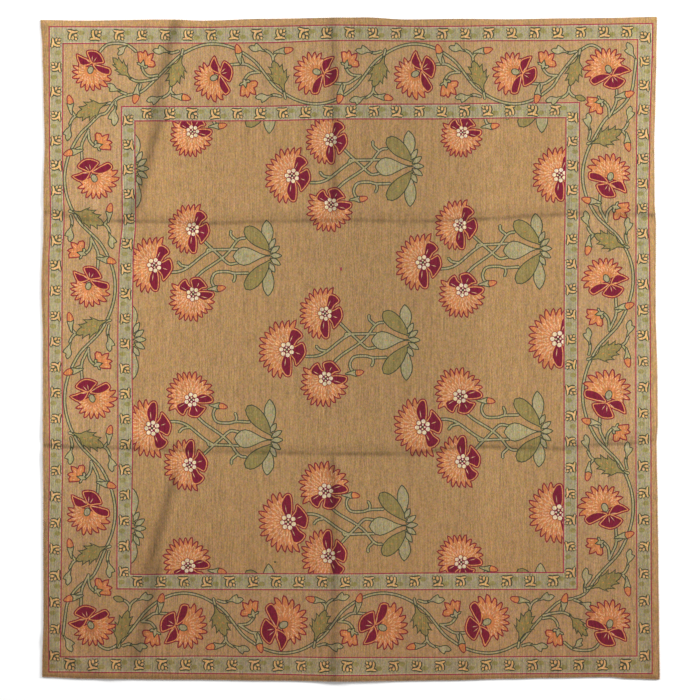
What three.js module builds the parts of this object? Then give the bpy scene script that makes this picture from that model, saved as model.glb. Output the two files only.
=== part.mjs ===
// A flat-woven wool rug, laid out on the floor after it was folded in thirds and in half.
// Millimetres, +Z up, +Y towards the rug's head. The origin lies on the floor under the rug's middle.
// The cloth is one closed sheet. Its four sides wander a little, and it lies flat on the floor
// except near its old folds and slack creases, where it stands up a few millimetres.

import * as THREE from 'three';

const WIDTH = 2743;
const LENGTH = 2954;
const THICKNESS = 5;
const WOOL_COLOUR = 0xa77f55;
const WOOL_ROUGHNESS = 0.95;

// Strips of the mesh between neighbouring folds or sides, and how much they crowd towards the folds.
const ROWS_PER_THIRD = 16;
const COLUMNS_PER_HALF = 24;
const CROWDING = 0.7;

// How far each side stands out from its straight line. "at" runs along the side, from the rug's middle
// towards +Y for the left and right sides and towards +X for the head and the foot.
const LEFT_SIDE = [
  { at: -1477, out: 4 },
  { at: -1405, out: 3 },
  { at: -1230, out: -2 },
  { at: -780, out: -1 },
  { at: -420, out: 1 },
  { at: 20, out: 1 },
  { at: 290, out: 7 },
  { at: 560, out: -2 },
  { at: 740, out: -2 },
  { at: 915, out: -7 },
  { at: 1180, out: -1 },
  { at: 1360, out: 4 },
  { at: 1477, out: 12 },
];
const RIGHT_SIDE = [
  { at: -1477, out: 14 },
  { at: -1230, out: 11 },
  { at: -960, out: 8 },
  { at: -690, out: 5 },
  { at: -430, out: 0 },
  { at: -330, out: 5 },
  { at: -160, out: 4 },
  { at: 200, out: -4 },
  { at: 560, out: -3 },
  { at: 650, out: -9 },
  { at: 920, out: -10 },
  { at: 1095, out: -5 },
  { at: 1275, out: -1 },
  { at: 1477, out: 2 },
];
const HEAD = [
  { at: -1371, out: -5 },
  { at: -1180, out: -8 },
  { at: -820, out: -3 },
  { at: -640, out: -8 },
  { at: -375, out: 0 },
  { at: -15, out: 5 },
  { at: 75, out: 6 },
  { at: 250, out: -3 },
  { at: 520, out: 0 },
  { at: 700, out: -2 },
  { at: 970, out: 2 },
  { at: 1145, out: 4 },
  { at: 1371, out: 9 },
];
const FOOT = [
  { at: -1371, out: -11 },
  { at: -1180, out: -3 },
  { at: -730, out: 1 },
  { at: -375, out: 5 },
  { at: -15, out: 9 },
  { at: 165, out: 7 },
  { at: 430, out: 4 },
  { at: 700, out: -3 },
  { at: 880, out: -7 },
  { at: 1145, out: -11 },
  { at: 1235, out: -4 },
  { at: 1371, out: 0 },
];

// The two folds across the rug: troughs, because the rug was folded face inwards.
const UPPER_FOLD = [
  { at: -1371, y: 612 },
  { at: -1117, y: 577 },
  { at: -670, y: 568 },
  { at: -223, y: 573 },
  { at: 358, y: 575 },
  { at: 582, y: 582 },
  { at: 850, y: 595 },
  { at: 1074, y: 604 },
  { at: 1371, y: 592 },
];
const LOWER_FOLD = [
  { at: -1371, y: -435 },
  { at: -1206, y: -438 },
  { at: -670, y: -453 },
  { at: 0, y: -465 },
  { at: 224, y: -464 },
  { at: 537, y: -435 },
  { at: 940, y: -451 },
  { at: 1208, y: -429 },
  { at: 1371, y: -409 },
];
// The fold down the middle is a ridge in the two outer thirds and nearly flat in the middle one.
const MIDDLE_FOLD_X = -48;

// A trough's line touches the floor between two long shoulders: "pinch" is the half width of the
// trough itself and "spread" how far its shoulders run out.
const CROSS_FOLD = { height: 6.5, pinch: 32, spread: 100 };
const TROUGHS = [
  { name: 'head slant, trough', x0: -822, y0: 1050, x1: -935, y1: 640, height: 5.5, pinch: 24, spread: 60 },
  { name: 'foot slant, trough', x0: -842, y0: -1000, x1: -930, y1: -1365, height: 4, pinch: 26, spread: 70 },
];
// A ridge stands up along its line, with a reach of its own on each side.
const RIDGES = [
  { name: 'middle, head third', x0: -48, y0: 1477, x1: -38, y1: 640, height: 4.5, left: 55, right: 30 },
  { name: 'middle, foot third', x0: -48, y0: -520, x1: -50, y1: -1477, height: 4.5, left: 55, right: 30 },
  { name: 'middle, centre', x0: -30, y0: 480, x1: -30, y1: -360, height: 1.6, left: 80, right: 60 },
  { name: 'head slant, ridge', x0: -741, y0: 1477, x1: -850, y1: 1065, height: 6, left: 44, right: 30 },
  { name: 'foot slant, ridge', x0: -765, y0: -600, x1: -875, y1: -985, height: 5, left: 46, right: 32 },
  { name: 'foot corner', x0: -1300, y0: -1345, x1: -1120, y1: -1440, height: 5, left: 30, right: 26 },
  { name: 'head edge', x0: -60, y0: 1462, x1: 150, y1: 1466, height: 4, left: 40, right: 40 },
  { name: 'foot edge', x0: -60, y0: -1468, x1: 60, y1: -1468, height: 5, left: 40, right: 40 },
];
// A lift below this is pressed out flat by the cloth's own weight.
const PRESSED_OUT = 0.6;
const FEATHER_END = 120;

// Reads a table at one place, easing smoothly from each row to the next.
function read(table, column, at) {
  if (at <= table[0].at) return table[0][column];
  for (let i = 1; i < table.length; i += 1) {
    const low = table[i - 1];
    const high = table[i];
    if (at <= high.at) {
      const t = THREE.MathUtils.smoothstep(at, low.at, high.at);
      return THREE.MathUtils.lerp(low[column], high[column], t);
    }
  }
  return table[table.length - 1][column];
}

// Moves a point of the straight rectangle to where it lies on the uneven rug.
function lay(x, y) {
  const across = x / WIDTH + 0.5;
  const along = y / LENGTH + 0.5;
  const left = -read(LEFT_SIDE, 'out', y);
  const right = read(RIGHT_SIDE, 'out', y);
  const foot = -read(FOOT, 'out', x);
  const head = read(HEAD, 'out', x);
  return {
    x: x + THREE.MathUtils.lerp(left, right, across),
    y: y + THREE.MathUtils.lerp(foot, head, along),
  };
}

// Two long shoulders beside a trough, and nothing on its line.
function trough(distance, shape) {
  const pinched = 1 - Math.exp(-((distance / shape.pinch) ** 2));
  return shape.height * pinched * Math.exp(-Math.abs(distance) / shape.spread);
}

// A rounded ridge, steeper on one side than on the other.
function ridge(distance, shape) {
  const reach = distance < 0 ? shape.left : shape.right;
  return shape.height * Math.exp(-((distance / reach) ** 2));
}

// How far a point lies to the right of a crease that runs down the rug (or above one that runs across)
// and how much of the crease is left there past its ends.
function fromCrease(x, y, crease) {
  const run = new THREE.Vector2(crease.x1 - crease.x0, crease.y1 - crease.y0);
  const length = run.length();
  run.normalize();
  const along = (x - crease.x0) * run.x + (y - crease.y0) * run.y;
  const distance = -(x - crease.x0) * run.y + (y - crease.y0) * run.x;
  const past = Math.max(0, -along, along - length) / FEATHER_END;
  return { distance, share: Math.exp(-(past ** 2)) };
}

// How high the underside of the cloth stands off the floor.
function lift(x, y) {
  let height = trough(y - read(UPPER_FOLD, 'y', x), CROSS_FOLD);
  height += trough(y - read(LOWER_FOLD, 'y', x), CROSS_FOLD);
  for (const crease of TROUGHS) {
    const { distance, share } = fromCrease(x, y, crease);
    height += share * trough(distance, crease);
  }
  for (const crease of RIDGES) {
    const { distance, share } = fromCrease(x, y, crease);
    height += share * ridge(distance, crease);
  }
  return Math.max(0, height - PRESSED_OUT);
}

// Steps from 0 to 1 that crowd towards the ends which lie on a fold.
function steps(count, crowdStart, crowdEnd) {
  const places = [];
  for (let i = 0; i <= count; i += 1) {
    const t = i / count;
    const atBoth = t - (CROWDING * Math.sin(2 * Math.PI * t)) / (2 * Math.PI);
    const atStart = t - (CROWDING * Math.sin(Math.PI * t)) / Math.PI;
    const atEnd = t + (CROWDING * Math.sin(Math.PI * t)) / Math.PI;
    if (crowdStart && crowdEnd) places.push(atBoth);
    else if (crowdStart) places.push(atStart);
    else places.push(atEnd);
  }
  return places;
}

// The grid lines follow the folds, so that each fold line is a row or a column of the mesh.
function gridOfPlaces() {
  const lerp = THREE.MathUtils.lerp;
  const columns = [
    ...steps(COLUMNS_PER_HALF, false, true).map((t) => lerp(-WIDTH / 2, MIDDLE_FOLD_X, t)),
    ...steps(COLUMNS_PER_HALF, true, false).slice(1).map((t) => lerp(MIDDLE_FOLD_X, WIDTH / 2, t)),
  ];
  const footThird = steps(ROWS_PER_THIRD, false, true);
  const middleThird = steps(ROWS_PER_THIRD, true, true).slice(1);
  const headThird = steps(ROWS_PER_THIRD, true, false).slice(1);
  const placesAt = (x) => {
    const lower = read(LOWER_FOLD, 'y', x);
    const upper = read(UPPER_FOLD, 'y', x);
    return [
      ...footThird.map((t) => ({ x, y: lerp(-LENGTH / 2, lower, t) })),
      ...middleThird.map((t) => ({ x, y: lerp(lower, upper, t) })),
      ...headThird.map((t) => ({ x, y: lerp(upper, LENGTH / 2, t) })),
    ];
  };
  const perColumn = columns.map(placesAt);
  return perColumn[0].map((_, row) => perColumn.map((column) => column[row]));
}

// The woven cloth: a top and an underside one thickness apart, joined by a rim along the four sides.
function makeCloth() {
  const grid = gridOfPlaces();
  const rowCount = grid.length;
  const columnCount = grid[0].length;
  const perSide = rowCount * columnCount;
  const positions = [];
  for (const side of [0, THICKNESS]) {
    for (const row of grid) {
      for (const place of row) {
        const laid = lay(place.x, place.y);
        positions.push(laid.x, laid.y, lift(place.x, place.y) + side);
      }
    }
  }

  const faces = [];
  const quad = (a, b, c, d) => faces.push(a, b, c, a, c, d);
  const at = (row, column) => row * columnCount + column;
  for (let r = 0; r + 1 < rowCount; r += 1) {
    for (let c = 0; c + 1 < columnCount; c += 1) {
      const corners = [at(r, c), at(r, c + 1), at(r + 1, c + 1), at(r + 1, c)];
      quad(...corners.map((i) => i + perSide));
      quad(...corners.reverse());
    }
  }
  const rim = [];
  for (let c = 0; c < columnCount - 1; c += 1) rim.push(at(0, c));
  for (let r = 0; r < rowCount - 1; r += 1) rim.push(at(r, columnCount - 1));
  for (let c = columnCount - 1; c > 0; c -= 1) rim.push(at(rowCount - 1, c));
  for (let r = rowCount - 1; r > 0; r -= 1) rim.push(at(r, 0));
  rim.forEach((here, i) => {
    const next = rim[(i + 1) % rim.length];
    quad(here, next, next + perSide, here + perSide);
  });

  const cloth = new THREE.BufferGeometry();
  cloth.setAttribute('position', new THREE.Float32BufferAttribute(positions, 3));
  cloth.setIndex(faces);
  cloth.computeVertexNormals();
  return cloth;
}

// Sets the model on the floor with the origin under the middle of its box.
function centred(geometry) {
  geometry.computeBoundingBox();
  const box = geometry.boundingBox;
  geometry.translate(-(box.min.x + box.max.x) / 2, -(box.min.y + box.max.y) / 2, -box.min.z);
  return geometry;
}

const wool = new THREE.MeshStandardMaterial({
  color: WOOL_COLOUR,
  roughness: WOOL_ROUGHNESS,
  metalness: 0,
});

const rug = new THREE.Mesh(centred(makeCloth()), wool);
rug.name = 'rug';

const laidOutRug = new THREE.Group();
laidOutRug.add(rug);

export default laidOutRug;
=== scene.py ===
import math
import random

import bpy
import numpy as np
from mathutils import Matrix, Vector
from mathutils.geometry import delaunay_2d_cdt


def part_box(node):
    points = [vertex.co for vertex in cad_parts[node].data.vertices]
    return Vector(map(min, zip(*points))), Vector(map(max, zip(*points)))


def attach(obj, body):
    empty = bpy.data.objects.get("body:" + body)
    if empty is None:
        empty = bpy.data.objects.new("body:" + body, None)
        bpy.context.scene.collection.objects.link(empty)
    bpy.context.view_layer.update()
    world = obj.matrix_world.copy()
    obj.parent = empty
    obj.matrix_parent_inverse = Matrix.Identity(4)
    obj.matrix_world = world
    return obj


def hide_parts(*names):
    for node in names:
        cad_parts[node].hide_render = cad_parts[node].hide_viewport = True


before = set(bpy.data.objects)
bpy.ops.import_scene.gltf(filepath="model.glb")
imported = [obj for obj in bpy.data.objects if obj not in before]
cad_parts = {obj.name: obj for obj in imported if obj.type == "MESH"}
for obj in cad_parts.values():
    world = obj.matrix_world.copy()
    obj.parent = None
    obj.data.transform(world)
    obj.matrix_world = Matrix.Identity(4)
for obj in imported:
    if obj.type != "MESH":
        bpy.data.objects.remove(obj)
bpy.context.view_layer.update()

# The ground cloth: one sheet of wool soumak, every warp wrapped in rows of camel yarn. It was folded in
# thirds and in half, and laid out again, so its sides wander and its folds stand up a few millimetres.
# The cloth is drawn flat in millimetres, with +Y towards the rug's head.
MM = 0.001
WIDTH = 2743
LENGTH = 2954
THICKNESS = 5
LEFT_SIDE = {
    "at": (-1477, -1405, -1230, -780, -420, 20, 290, 560, 740, 915, 1180, 1360, 1477),
    "out": (4, 3, -2, -1, 1, 1, 7, -2, -2, -7, -1, 4, 12),
}
RIGHT_SIDE = {
    "at": (-1477, -1230, -960, -690, -430, -330, -160, 200, 560, 650, 920, 1095, 1275, 1477),
    "out": (14, 11, 8, 5, 0, 5, 4, -4, -3, -9, -10, -5, -1, 2),
}
HEAD = {
    "at": (-1371, -1180, -820, -640, -375, -15, 75, 250, 520, 700, 970, 1145, 1371),
    "out": (-5, -8, -3, -8, 0, 5, 6, -3, 0, -2, 2, 4, 9),
}
FOOT = {
    "at": (-1371, -1180, -730, -375, -15, 165, 430, 700, 880, 1145, 1235, 1371),
    "out": (-11, -3, 1, 5, 9, 7, 4, -3, -7, -11, -4, 0),
}
UPPER_FOLD = {
    "at": (-1371, -1117, -670, -223, 358, 582, 850, 1074, 1371),
    "y": (612, 577, 568, 573, 575, 582, 595, 604, 592),
}
LOWER_FOLD = {
    "at": (-1371, -1206, -670, 0, 224, 537, 940, 1208, 1371),
    "y": (-435, -438, -453, -465, -464, -435, -451, -429, -409),
}
CROSS_FOLD = {"height": 6.5, "pinch": 32, "spread": 100}
TROUGHS = (
    {"x0": -822, "y0": 1050, "x1": -935, "y1": 640, "height": 5.5, "pinch": 24, "spread": 60},
    {"x0": -842, "y0": -1000, "x1": -930, "y1": -1365, "height": 4, "pinch": 26, "spread": 70},
)
RIDGES = (
    {"x0": -48, "y0": 1477, "x1": -38, "y1": 640, "height": 4.5, "left": 55, "right": 30},
    {"x0": -48, "y0": -520, "x1": -50, "y1": -1477, "height": 4.5, "left": 55, "right": 30},
    {"x0": -30, "y0": 480, "x1": -30, "y1": -360, "height": 1.6, "left": 80, "right": 60},
    {"x0": -741, "y0": 1477, "x1": -850, "y1": 1065, "height": 6, "left": 44, "right": 30},
    {"x0": -765, "y0": -600, "x1": -875, "y1": -985, "height": 5, "left": 46, "right": 32},
    {"x0": -1300, "y0": -1345, "x1": -1120, "y1": -1440, "height": 5, "left": 30, "right": 26},
    {"x0": -60, "y0": 1462, "x1": 150, "y1": 1466, "height": 4, "left": 40, "right": 40},
    {"x0": -60, "y0": -1468, "x1": 60, "y1": -1468, "height": 5, "left": 40, "right": 40},
)
PRESSED_OUT = 0.6
FEATHER_END = 120


def eased(table, column, at):
    """Reads a table at each place, easing smoothly from one row to the next."""
    places = np.array(table["at"], float)
    values = np.array(table[column], float)
    at = np.clip(np.asarray(at, float), places[0], places[-1])
    high = np.clip(np.searchsorted(places, at), 1, len(places) - 1)
    t = (at - places[high - 1]) / (places[high] - places[high - 1])
    t = t * t * (3 - 2 * t)
    return values[high - 1] * (1 - t) + values[high] * t


def lay(x, y):
    """Moves points of the straight rectangle to where they lie on the uneven rug."""
    across = x / WIDTH + 0.5
    along = y / LENGTH + 0.5
    out_x = -eased(LEFT_SIDE, "out", y) * (1 - across) + eased(RIGHT_SIDE, "out", y) * across
    out_y = -eased(FOOT, "out", x) * (1 - along) + eased(HEAD, "out", x) * along
    return x + out_x, y + out_y


def trough(distance, shape):
    """Two long shoulders beside a trough, and nothing on its line."""
    pinched = 1 - np.exp(-((distance / shape["pinch"]) ** 2))
    return shape["height"] * pinched * np.exp(-np.abs(distance) / shape["spread"])


def ridge(distance, shape):
    """A rounded ridge, steeper on one side than on the other."""
    reach = np.where(distance < 0, shape["left"], shape["right"])
    return shape["height"] * np.exp(-((distance / reach) ** 2))


def from_crease(x, y, crease):
    """How far points lie to the right of a crease, and how much of it is left past its ends."""
    run_x = crease["x1"] - crease["x0"]
    run_y = crease["y1"] - crease["y0"]
    length = math.hypot(run_x, run_y)
    run_x, run_y = run_x / length, run_y / length
    along = (x - crease["x0"]) * run_x + (y - crease["y0"]) * run_y
    distance = -(x - crease["x0"]) * run_y + (y - crease["y0"]) * run_x
    past = np.maximum(0, np.maximum(-along, along - length)) / FEATHER_END
    return distance, np.exp(-(past**2))


def lift(x, y):
    """How high the underside of the cloth stands off the floor."""
    height = trough(y - eased(UPPER_FOLD, "y", x), CROSS_FOLD)
    height += trough(y - eased(LOWER_FOLD, "y", x), CROSS_FOLD)
    for crease in TROUGHS:
        distance, share = from_crease(x, y, crease)
        height += share * trough(distance, crease)
    for crease in RIDGES:
        distance, share = from_crease(x, y, crease)
        height += share * ridge(distance, crease)
    return np.maximum(0, height - PRESSED_OUT)


# The red lines and the guard stripes: two narrow sage stripes round the rug, each between two red lines
# with a pale line beside them. They are woven in with the ground, row by row.
# Each table gives the four nested frames' lines, from the outer one (1) to the one round the field (4).
SIDE_LINES = {
    "at": (-1448, -943, -429, 18, 398, 577, 890, 1440),
    "left_1": (-1345, -1347, -1342, -1346, -1345, -1337, -1342, -1344),
    "left_2": (-1294, -1290, -1284, -1287, -1286, -1277, -1285, -1282),
    "left_3": (-1041, -1041, -1036, -1037, -1032, -1016, -1020, -1019),
    "left_4": (-981, -979, -971, -974, -969, -957, -961, -958),
    "right_4": (954, 956, 958, 958, 959, 962, 966, 969),
    "right_3": (1016, 1016, 1018, 1019, 1020, 1025, 1026, 1028),
    "right_2": (1284, 1283, 1279, 1279, 1280, 1279, 1282, 1288),
    "right_1": (1352, 1347, 1346, 1343, 1340, 1335, 1340, 1354),
}
CROSS_LINES = {
    "at": (-1345, -983, -647, -446, -21, 358, 761, 1351),
    "head_1": (1441, 1440, 1438, 1442, 1448, 1442, 1447, 1455),
    "head_2": (1366, 1367, 1368, 1369, 1380, 1377, 1379, 1384),
    "head_3": (1084, 1084, 1084, 1085, 1095, 1095, 1100, 1105),
    "head_4": (1020, 1020, 1020, 1021, 1029, 1029, 1034, 1036),
    "foot_4": (-1008, -1007, -1005, -1004, -1005, -1001, -999, -999),
    "foot_3": (-1072, -1072, -1074, -1075, -1077, -1075, -1074, -1072),
    "foot_2": (-1376, -1375, -1372, -1374, -1379, -1378, -1375, -1372),
    "foot_1": (-1443, -1446, -1450, -1452, -1459, -1455, -1451, -1450),
}
RED_LINE = 5.5
PALE_LINE = 3.8
LINE_STEP = 28
CUT_SPARE = 3
DYES = {
    "camel": "A07D52",
    "straw": "B89B7A",
    "fawn": "A28159",
    "sage": "958A69",
    "pale": "A99C78",
    "moss": "857B49",
    "olive": "847444",
    "leaf": "9A8E68",
    "bottle": "3B3F2C",
    "madder": "8E3140",
    "wine": "761A2B",
    "crimson": "6E142A",
    "cherry": "8F2C41",
    "orange": "B97444",
    "apricot": "C4824E",
    "peach": "CC9F76",
    "honey": "C39B66",
    "cream": "D2BE9B",
    "rust": "B5793F",
}
woven = []


def weave(outline, dye, inside=None, veins=None):
    """Adds an area of one dye to the design, with veins drawn about a point of it. Later areas cover
    earlier ones, and inside keeps it to the part that lies in the plain field."""
    outline = np.array(outline, float)
    if inside is not None:
        outline = within(outline, inside.min(axis=0) - CUT_SPARE, inside.max(axis=0) + CUT_SPARE)
    if outline is not None:
        woven.append((outline, dye, inside, veins))


def within(outline, low, high):
    """The part of an outline that lies in a box."""
    for axis, limit, side in ((0, low[0], 1), (1, low[1], 1), (0, high[0], -1), (1, high[1], -1)):
        kept = []
        for here, ahead in zip(outline, np.roll(outline, -1, axis=0)):
            depth, next_depth = side * (here[axis] - limit), side * (ahead[axis] - limit)
            if depth >= 0:
                kept.append(here)
            if (depth >= 0) != (next_depth >= 0):
                kept.append(here + (ahead - here) * depth / (depth - next_depth))
        outline = np.array(kept)
        if len(outline) < 3:
            return None
    return outline


def frame_outline(number, inset):
    """The closed line of one nested frame, moved inwards by an inset."""
    left, right = f"left_{number}", f"right_{number}"
    head, foot = f"head_{number}", f"foot_{number}"
    corner_y = eased(CROSS_LINES, foot, -1345), eased(CROSS_LINES, head, -1345)
    low, high = float(corner_y[0]), float(corner_y[1])
    corner_x = eased(SIDE_LINES, left, low), eased(SIDE_LINES, right, low)
    west, east = float(corner_x[0]), float(corner_x[1])
    x = np.linspace(west, east, int((east - west) / LINE_STEP))
    y = np.linspace(low, high, int((high - low) / LINE_STEP))
    foot_line = np.stack([x, eased(CROSS_LINES, foot, x)], 1)
    head_line = np.stack([x, eased(CROSS_LINES, head, x)], 1)[::-1]
    right_line = np.stack([eased(SIDE_LINES, right, y), y], 1)
    left_line = np.stack([eased(SIDE_LINES, left, y), y], 1)[::-1]
    foot_line[:, 1] += inset
    head_line[:, 1] -= inset
    right_line[:, 0] -= inset
    left_line[:, 0] += inset
    return np.concatenate([
        fit_between(foot_line, left_line[-1], right_line[0], 0),
        fit_between(right_line, foot_line[-1], head_line[0], 1),
        fit_between(head_line, right_line[-1], left_line[0], 0),
        fit_between(left_line, head_line[-1], foot_line[0], 1),
    ])


def fit_between(line, start, end, axis):
    """Stretches one side of a frame so that it ends where the neighbouring sides run."""
    line = line.copy()
    share = (line[:, axis] - line[0, axis]) / (line[-1, axis] - line[0, axis])
    line[:, axis] = start[axis] + share * (end[axis] - start[axis])
    return line[:-1]


field = frame_outline(4, RED_LINE / 2)
GUARD_LAYERS = (
    (0, -RED_LINE / 2, "madder"),
    (0, RED_LINE / 2, "pale"),
    (0, RED_LINE / 2 + PALE_LINE, "sage"),
    (1, -RED_LINE / 2 - PALE_LINE, "pale"),
    (1, -RED_LINE / 2, "madder"),
    (1, RED_LINE / 2, None),
)
for outer in (1, 3):
    for step, inset, dye in GUARD_LAYERS:
        weave(frame_outline(outer + step, inset), dye or ("fawn" if outer == 1 else "camel"))

# The sprigs of the guard stripes: a small honey-coloured flower on a curved leaf, outlined in bottle
# green, turned head up and head down by turns, with an olive patch of ground yarn between them.
SPRIG_LINE = 5.6
SPRIG_STROKES = (
    {"points": ((-14, 19), (-15, 6), (-11, -6), (-3, -13)), "half": (3.4, 4.5, 4.8, 4.0)},
    {"points": ((-24, -20), (-12, -17), (3, -14), (19, -18)), "half": (2.8, 4.6, 5.0, 3.2)},
    {"points": ((0, 18), (0, 7)), "half": (5.8, 5.0)},
    {"points": ((17, 19), (14, 13)), "half": (4.8, 4.2)},
    {"points": ((9, -1), (17, 1)), "half": (4.8, 5.6)},
)
MOSS_PATCH = {"x": 38, "y": -10, "rx": 15, "ry": 11}
SPRIG_ROWS = (
    {"lines": ("head_1", "head_2"), "first": -1238, "last": 1239, "count": 25},
    {"lines": ("foot_1", "foot_2"), "first": -1251, "last": 1230, "count": 25},
    {"lines": ("left_1", "left_2"), "first": 1370, "last": -1372, "count": 25, "bow": 35},
    {"lines": ("right_1", "right_2"), "first": 1395, "last": -1372, "count": 25, "bow": 50},
    {"lines": ("head_3", "head_4"), "first": -906, "last": 918, "count": 19},
    {"lines": ("foot_3", "foot_4"), "first": -947, "last": 908, "count": 19},
    {"lines": ("left_3", "left_4"), "first": 1024, "last": -996, "count": 19, "bow": 11},
    {"lines": ("right_3", "right_4"), "first": 1037, "last": -1001, "count": 19, "bow": 26},
)


def smooth(points, steps=4, closed=False):
    """A smooth curve through a few points (Catmull-Rom)."""
    points = np.array(points, float)
    count = len(points)
    if closed:
        padded = np.concatenate([points[-1:], points, points[:2]])
    else:
        first = 2 * points[:1] - points[1:2]
        last = 2 * points[-1:] - points[-2:-1]
        padded = np.concatenate([first, points, last])
    curve = []
    for i in range(count if closed else count - 1):
        a, b, c, d = padded[i : i + 4]
        for step in range(steps):
            t = step / steps
            curve.append(0.5 * (
                2 * b + (c - a) * t + (2 * a - 5 * b + 4 * c - d) * t**2
                + (3 * b - a - 3 * c + d) * t**3
            ))
    if not closed:
        curve.append(points[-1])
    return np.array(curve)


def ribbon(points, half, extra=0.0, steps=4, rounded=False):
    """The outline of a curved stroke whose half width eases along a list; extra widens all of it."""
    line = smooth(points, steps)
    halves = np.interp(np.linspace(0, 1, len(line)), np.linspace(0, 1, len(half)), half) + extra
    tangent = np.gradient(line, axis=0)
    tangent /= np.linalg.norm(tangent, axis=1)[:, None] + 1e-9
    normal = np.stack([-tangent[:, 1], tangent[:, 0]], 1)
    left = line + normal * halves[:, None]
    right = line - normal * halves[:, None]
    caps = []
    for i, side in ((0, -1), (-1, 1)):
        out = line[i] + side * tangent[i] * halves[i] * (0.85 if rounded else 0.9)
        aside = side * normal[i] * halves[i] * 0.5
        caps.append([out + aside, out - aside] if rounded else [out])
    return np.concatenate([caps[0], right, caps[1], left[::-1]])


def grown(outline, amount, limit=2.2):
    """An outline moved outwards by an amount (inwards if negative), with its corners kept sharp."""
    outline = np.array(outline, float)
    x, y = outline[:, 0], outline[:, 1]
    area = np.sum(x * np.roll(y, -1) - np.roll(x, -1) * y)
    before = outline - np.roll(outline, 1, axis=0)
    after = np.roll(outline, -1, axis=0) - outline
    before /= np.linalg.norm(before, axis=1)[:, None] + 1e-9
    after /= np.linalg.norm(after, axis=1)[:, None] + 1e-9
    side = 1 if area > 0 else -1
    out_before = side * np.stack([before[:, 1], -before[:, 0]], 1)
    out_after = side * np.stack([after[:, 1], -after[:, 0]], 1)
    middle = out_before + out_after
    length = np.linalg.norm(middle, axis=1)[:, None]
    middle /= length + 1e-9
    reach = np.minimum(limit, 2 / np.maximum(length, 0.1))
    return outline + middle * reach * amount


def placed(points, x, y, turn=0.0, size=1.0, flip=1):
    """Points of a motif flipped (flip = -1), turned by degrees, sized and set down on the cloth."""
    points = np.array(points, float).reshape(-1, 2) * (size, size * flip)
    c, s = math.cos(math.radians(turn)), math.sin(math.radians(turn))
    return points @ np.array([[c, s], [-s, c]]) + (x, y)


def stroke(start, end, half):
    """A short tapered stroke between two points."""
    start, end = np.array(start, float), np.array(end, float)
    run = (end - start) / np.linalg.norm(end - start)
    middle = start * 0.45 + end * 0.55
    aside = np.array([-run[1], run[0]]) * half
    return np.array([start, middle - aside, end, middle + aside])


def ellipse(x, y, rx, ry, count=10):
    """The outline of an oval."""
    a = np.linspace(0, 2 * math.pi, count, endpoint=False)
    return np.stack([x + rx * np.cos(a), y + ry * np.sin(a)], 1)


draw_seed = random.Random(7)


def sprig(x, y, turn, mirrored, patch_x, patch_y, size=1.0):
    """One sprig with its patch of moss-coloured ground, centred on a point of the stripe."""
    where = {"x": x, "y": y, "size": size * draw_seed.uniform(0.94, 1.04), "flip": -1 if mirrored else 1}
    where["turn"] = turn + draw_seed.uniform(-6, 6) + (180 if mirrored else 0)
    weave(ellipse(x + patch_x, y + patch_y, MOSS_PATCH["rx"], MOSS_PATCH["ry"], 8), "moss")
    for part in SPRIG_STROKES:
        outline = ribbon(part["points"], part["half"], SPRIG_LINE, 1, True)
        weave(placed(outline, **where), "bottle")
    for part in SPRIG_STROKES:
        weave(placed(ribbon(part["points"], part["half"], 0, 1, True), **where), "honey")


def sprig_row(row):
    """Sprigs along one side of a stripe, head up and head down by turns, lying down on the stripes along
    the rug. The second half of each row mirrors the first."""
    across = row["lines"][0][:4] in ("head", "foot")
    table = CROSS_LINES if across else SIDE_LINES
    for i in range(row["count"]):
        share = i / (row["count"] - 1)
        at = row["first"] + share * (row["last"] - row["first"])
        at += row.get("bow", 0) * 4 * share * (1 - share)
        centre = float(sum(eased(table, line, at) for line in row["lines"])) / 2
        second = i >= row["count"] / 2
        turned = (i if not second else row["count"] - 1 - i) % 2 == 0
        if across:
            patch_y = MOSS_PATCH["y"] * (-1 if turned else 1)
            sprig(at, centre, 180 if turned else 0, second != turned, MOSS_PATCH["x"], patch_y)
        else:
            on_side = turned if row["lines"][0][:4] == "left" else not turned
            mirrored = on_side != second
            patch_x = 10 if mirrored else -10
            sprig(centre, at, -90 if on_side else 90, mirrored, patch_x, -46, 0.96)


for row in SPRIG_ROWS:
    sprig_row(row)

# The big flower of the border and the field: a fan of pointed orange petals with pale veins, edged in
# madder red, and three crimson petals with an apricot rim at its foot. Its centre is at its pistil.
EDGE_LINE = 5.2
PETAL_RIM = 4.2
STROKE_HALF = 1.8
FAN = {
    "border": {"teeth": 10, "span": 178, "start": 92, "end": 122, "notch": 0.70, "lean": 0.30},
    "field": {"teeth": 14, "span": 190, "start": 132, "end": 132, "notch": 0.755, "lean": 0.34},
}
PETALS = {
    "border": {
        "swell": 0.5,
        "meet": (-32, -3),
        "outlines": (
            ((-36, -2), (-9, -36), (-12, -66), (-54, -94), (-53, -60), (-50, -26)),
            ((-34, -4), (-58, -32), (-86, -50), (-103, -14), (-96, 22), (-62, 54), (-46, 30)),
            ((-34, -2), (-42, 32), (-44, 62), (-42, 94), (-12, 102), (-1, 68), (-8, 30)),
        ),
        "strokes": ((-112, 10, 40), (165, 12, 42), (196, 12, 44), (98, 10, 44)),
    },
    "field": {
        "swell": 2.5,
        "meet": (0, 0),
        "outlines": (
            ((2, -4), (6, -44), (6, -86), (-22, -94), (-50, -74), (-34, -48), (-24, -20)),
            ((-8, -8), (-34, -26), (-58, -46), (-78, -20), (-80, 8), (-58, 56), (-42, 34), (-14, 12)),
            ((-8, 4), (-26, 30), (-38, 62), (-44, 102), (-26, 110), (-4, 92), (9, 70), (8, 34)),
        ),
        "strokes": ((-98, 34, 66), (176, 38, 62), (98, 36, 72)),
    },
}
PISTIL = {"rx": 18.5, "ry": 13.5}
SEED_RING = {"count": 7, "radius": 24, "bead": 9.5}
INNER_RING = {"count": 4, "radius": 9, "bead": 4.0}
BEAD_GROUND = 20
BEAD_LINE = 2.6
EYE = 5


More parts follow.
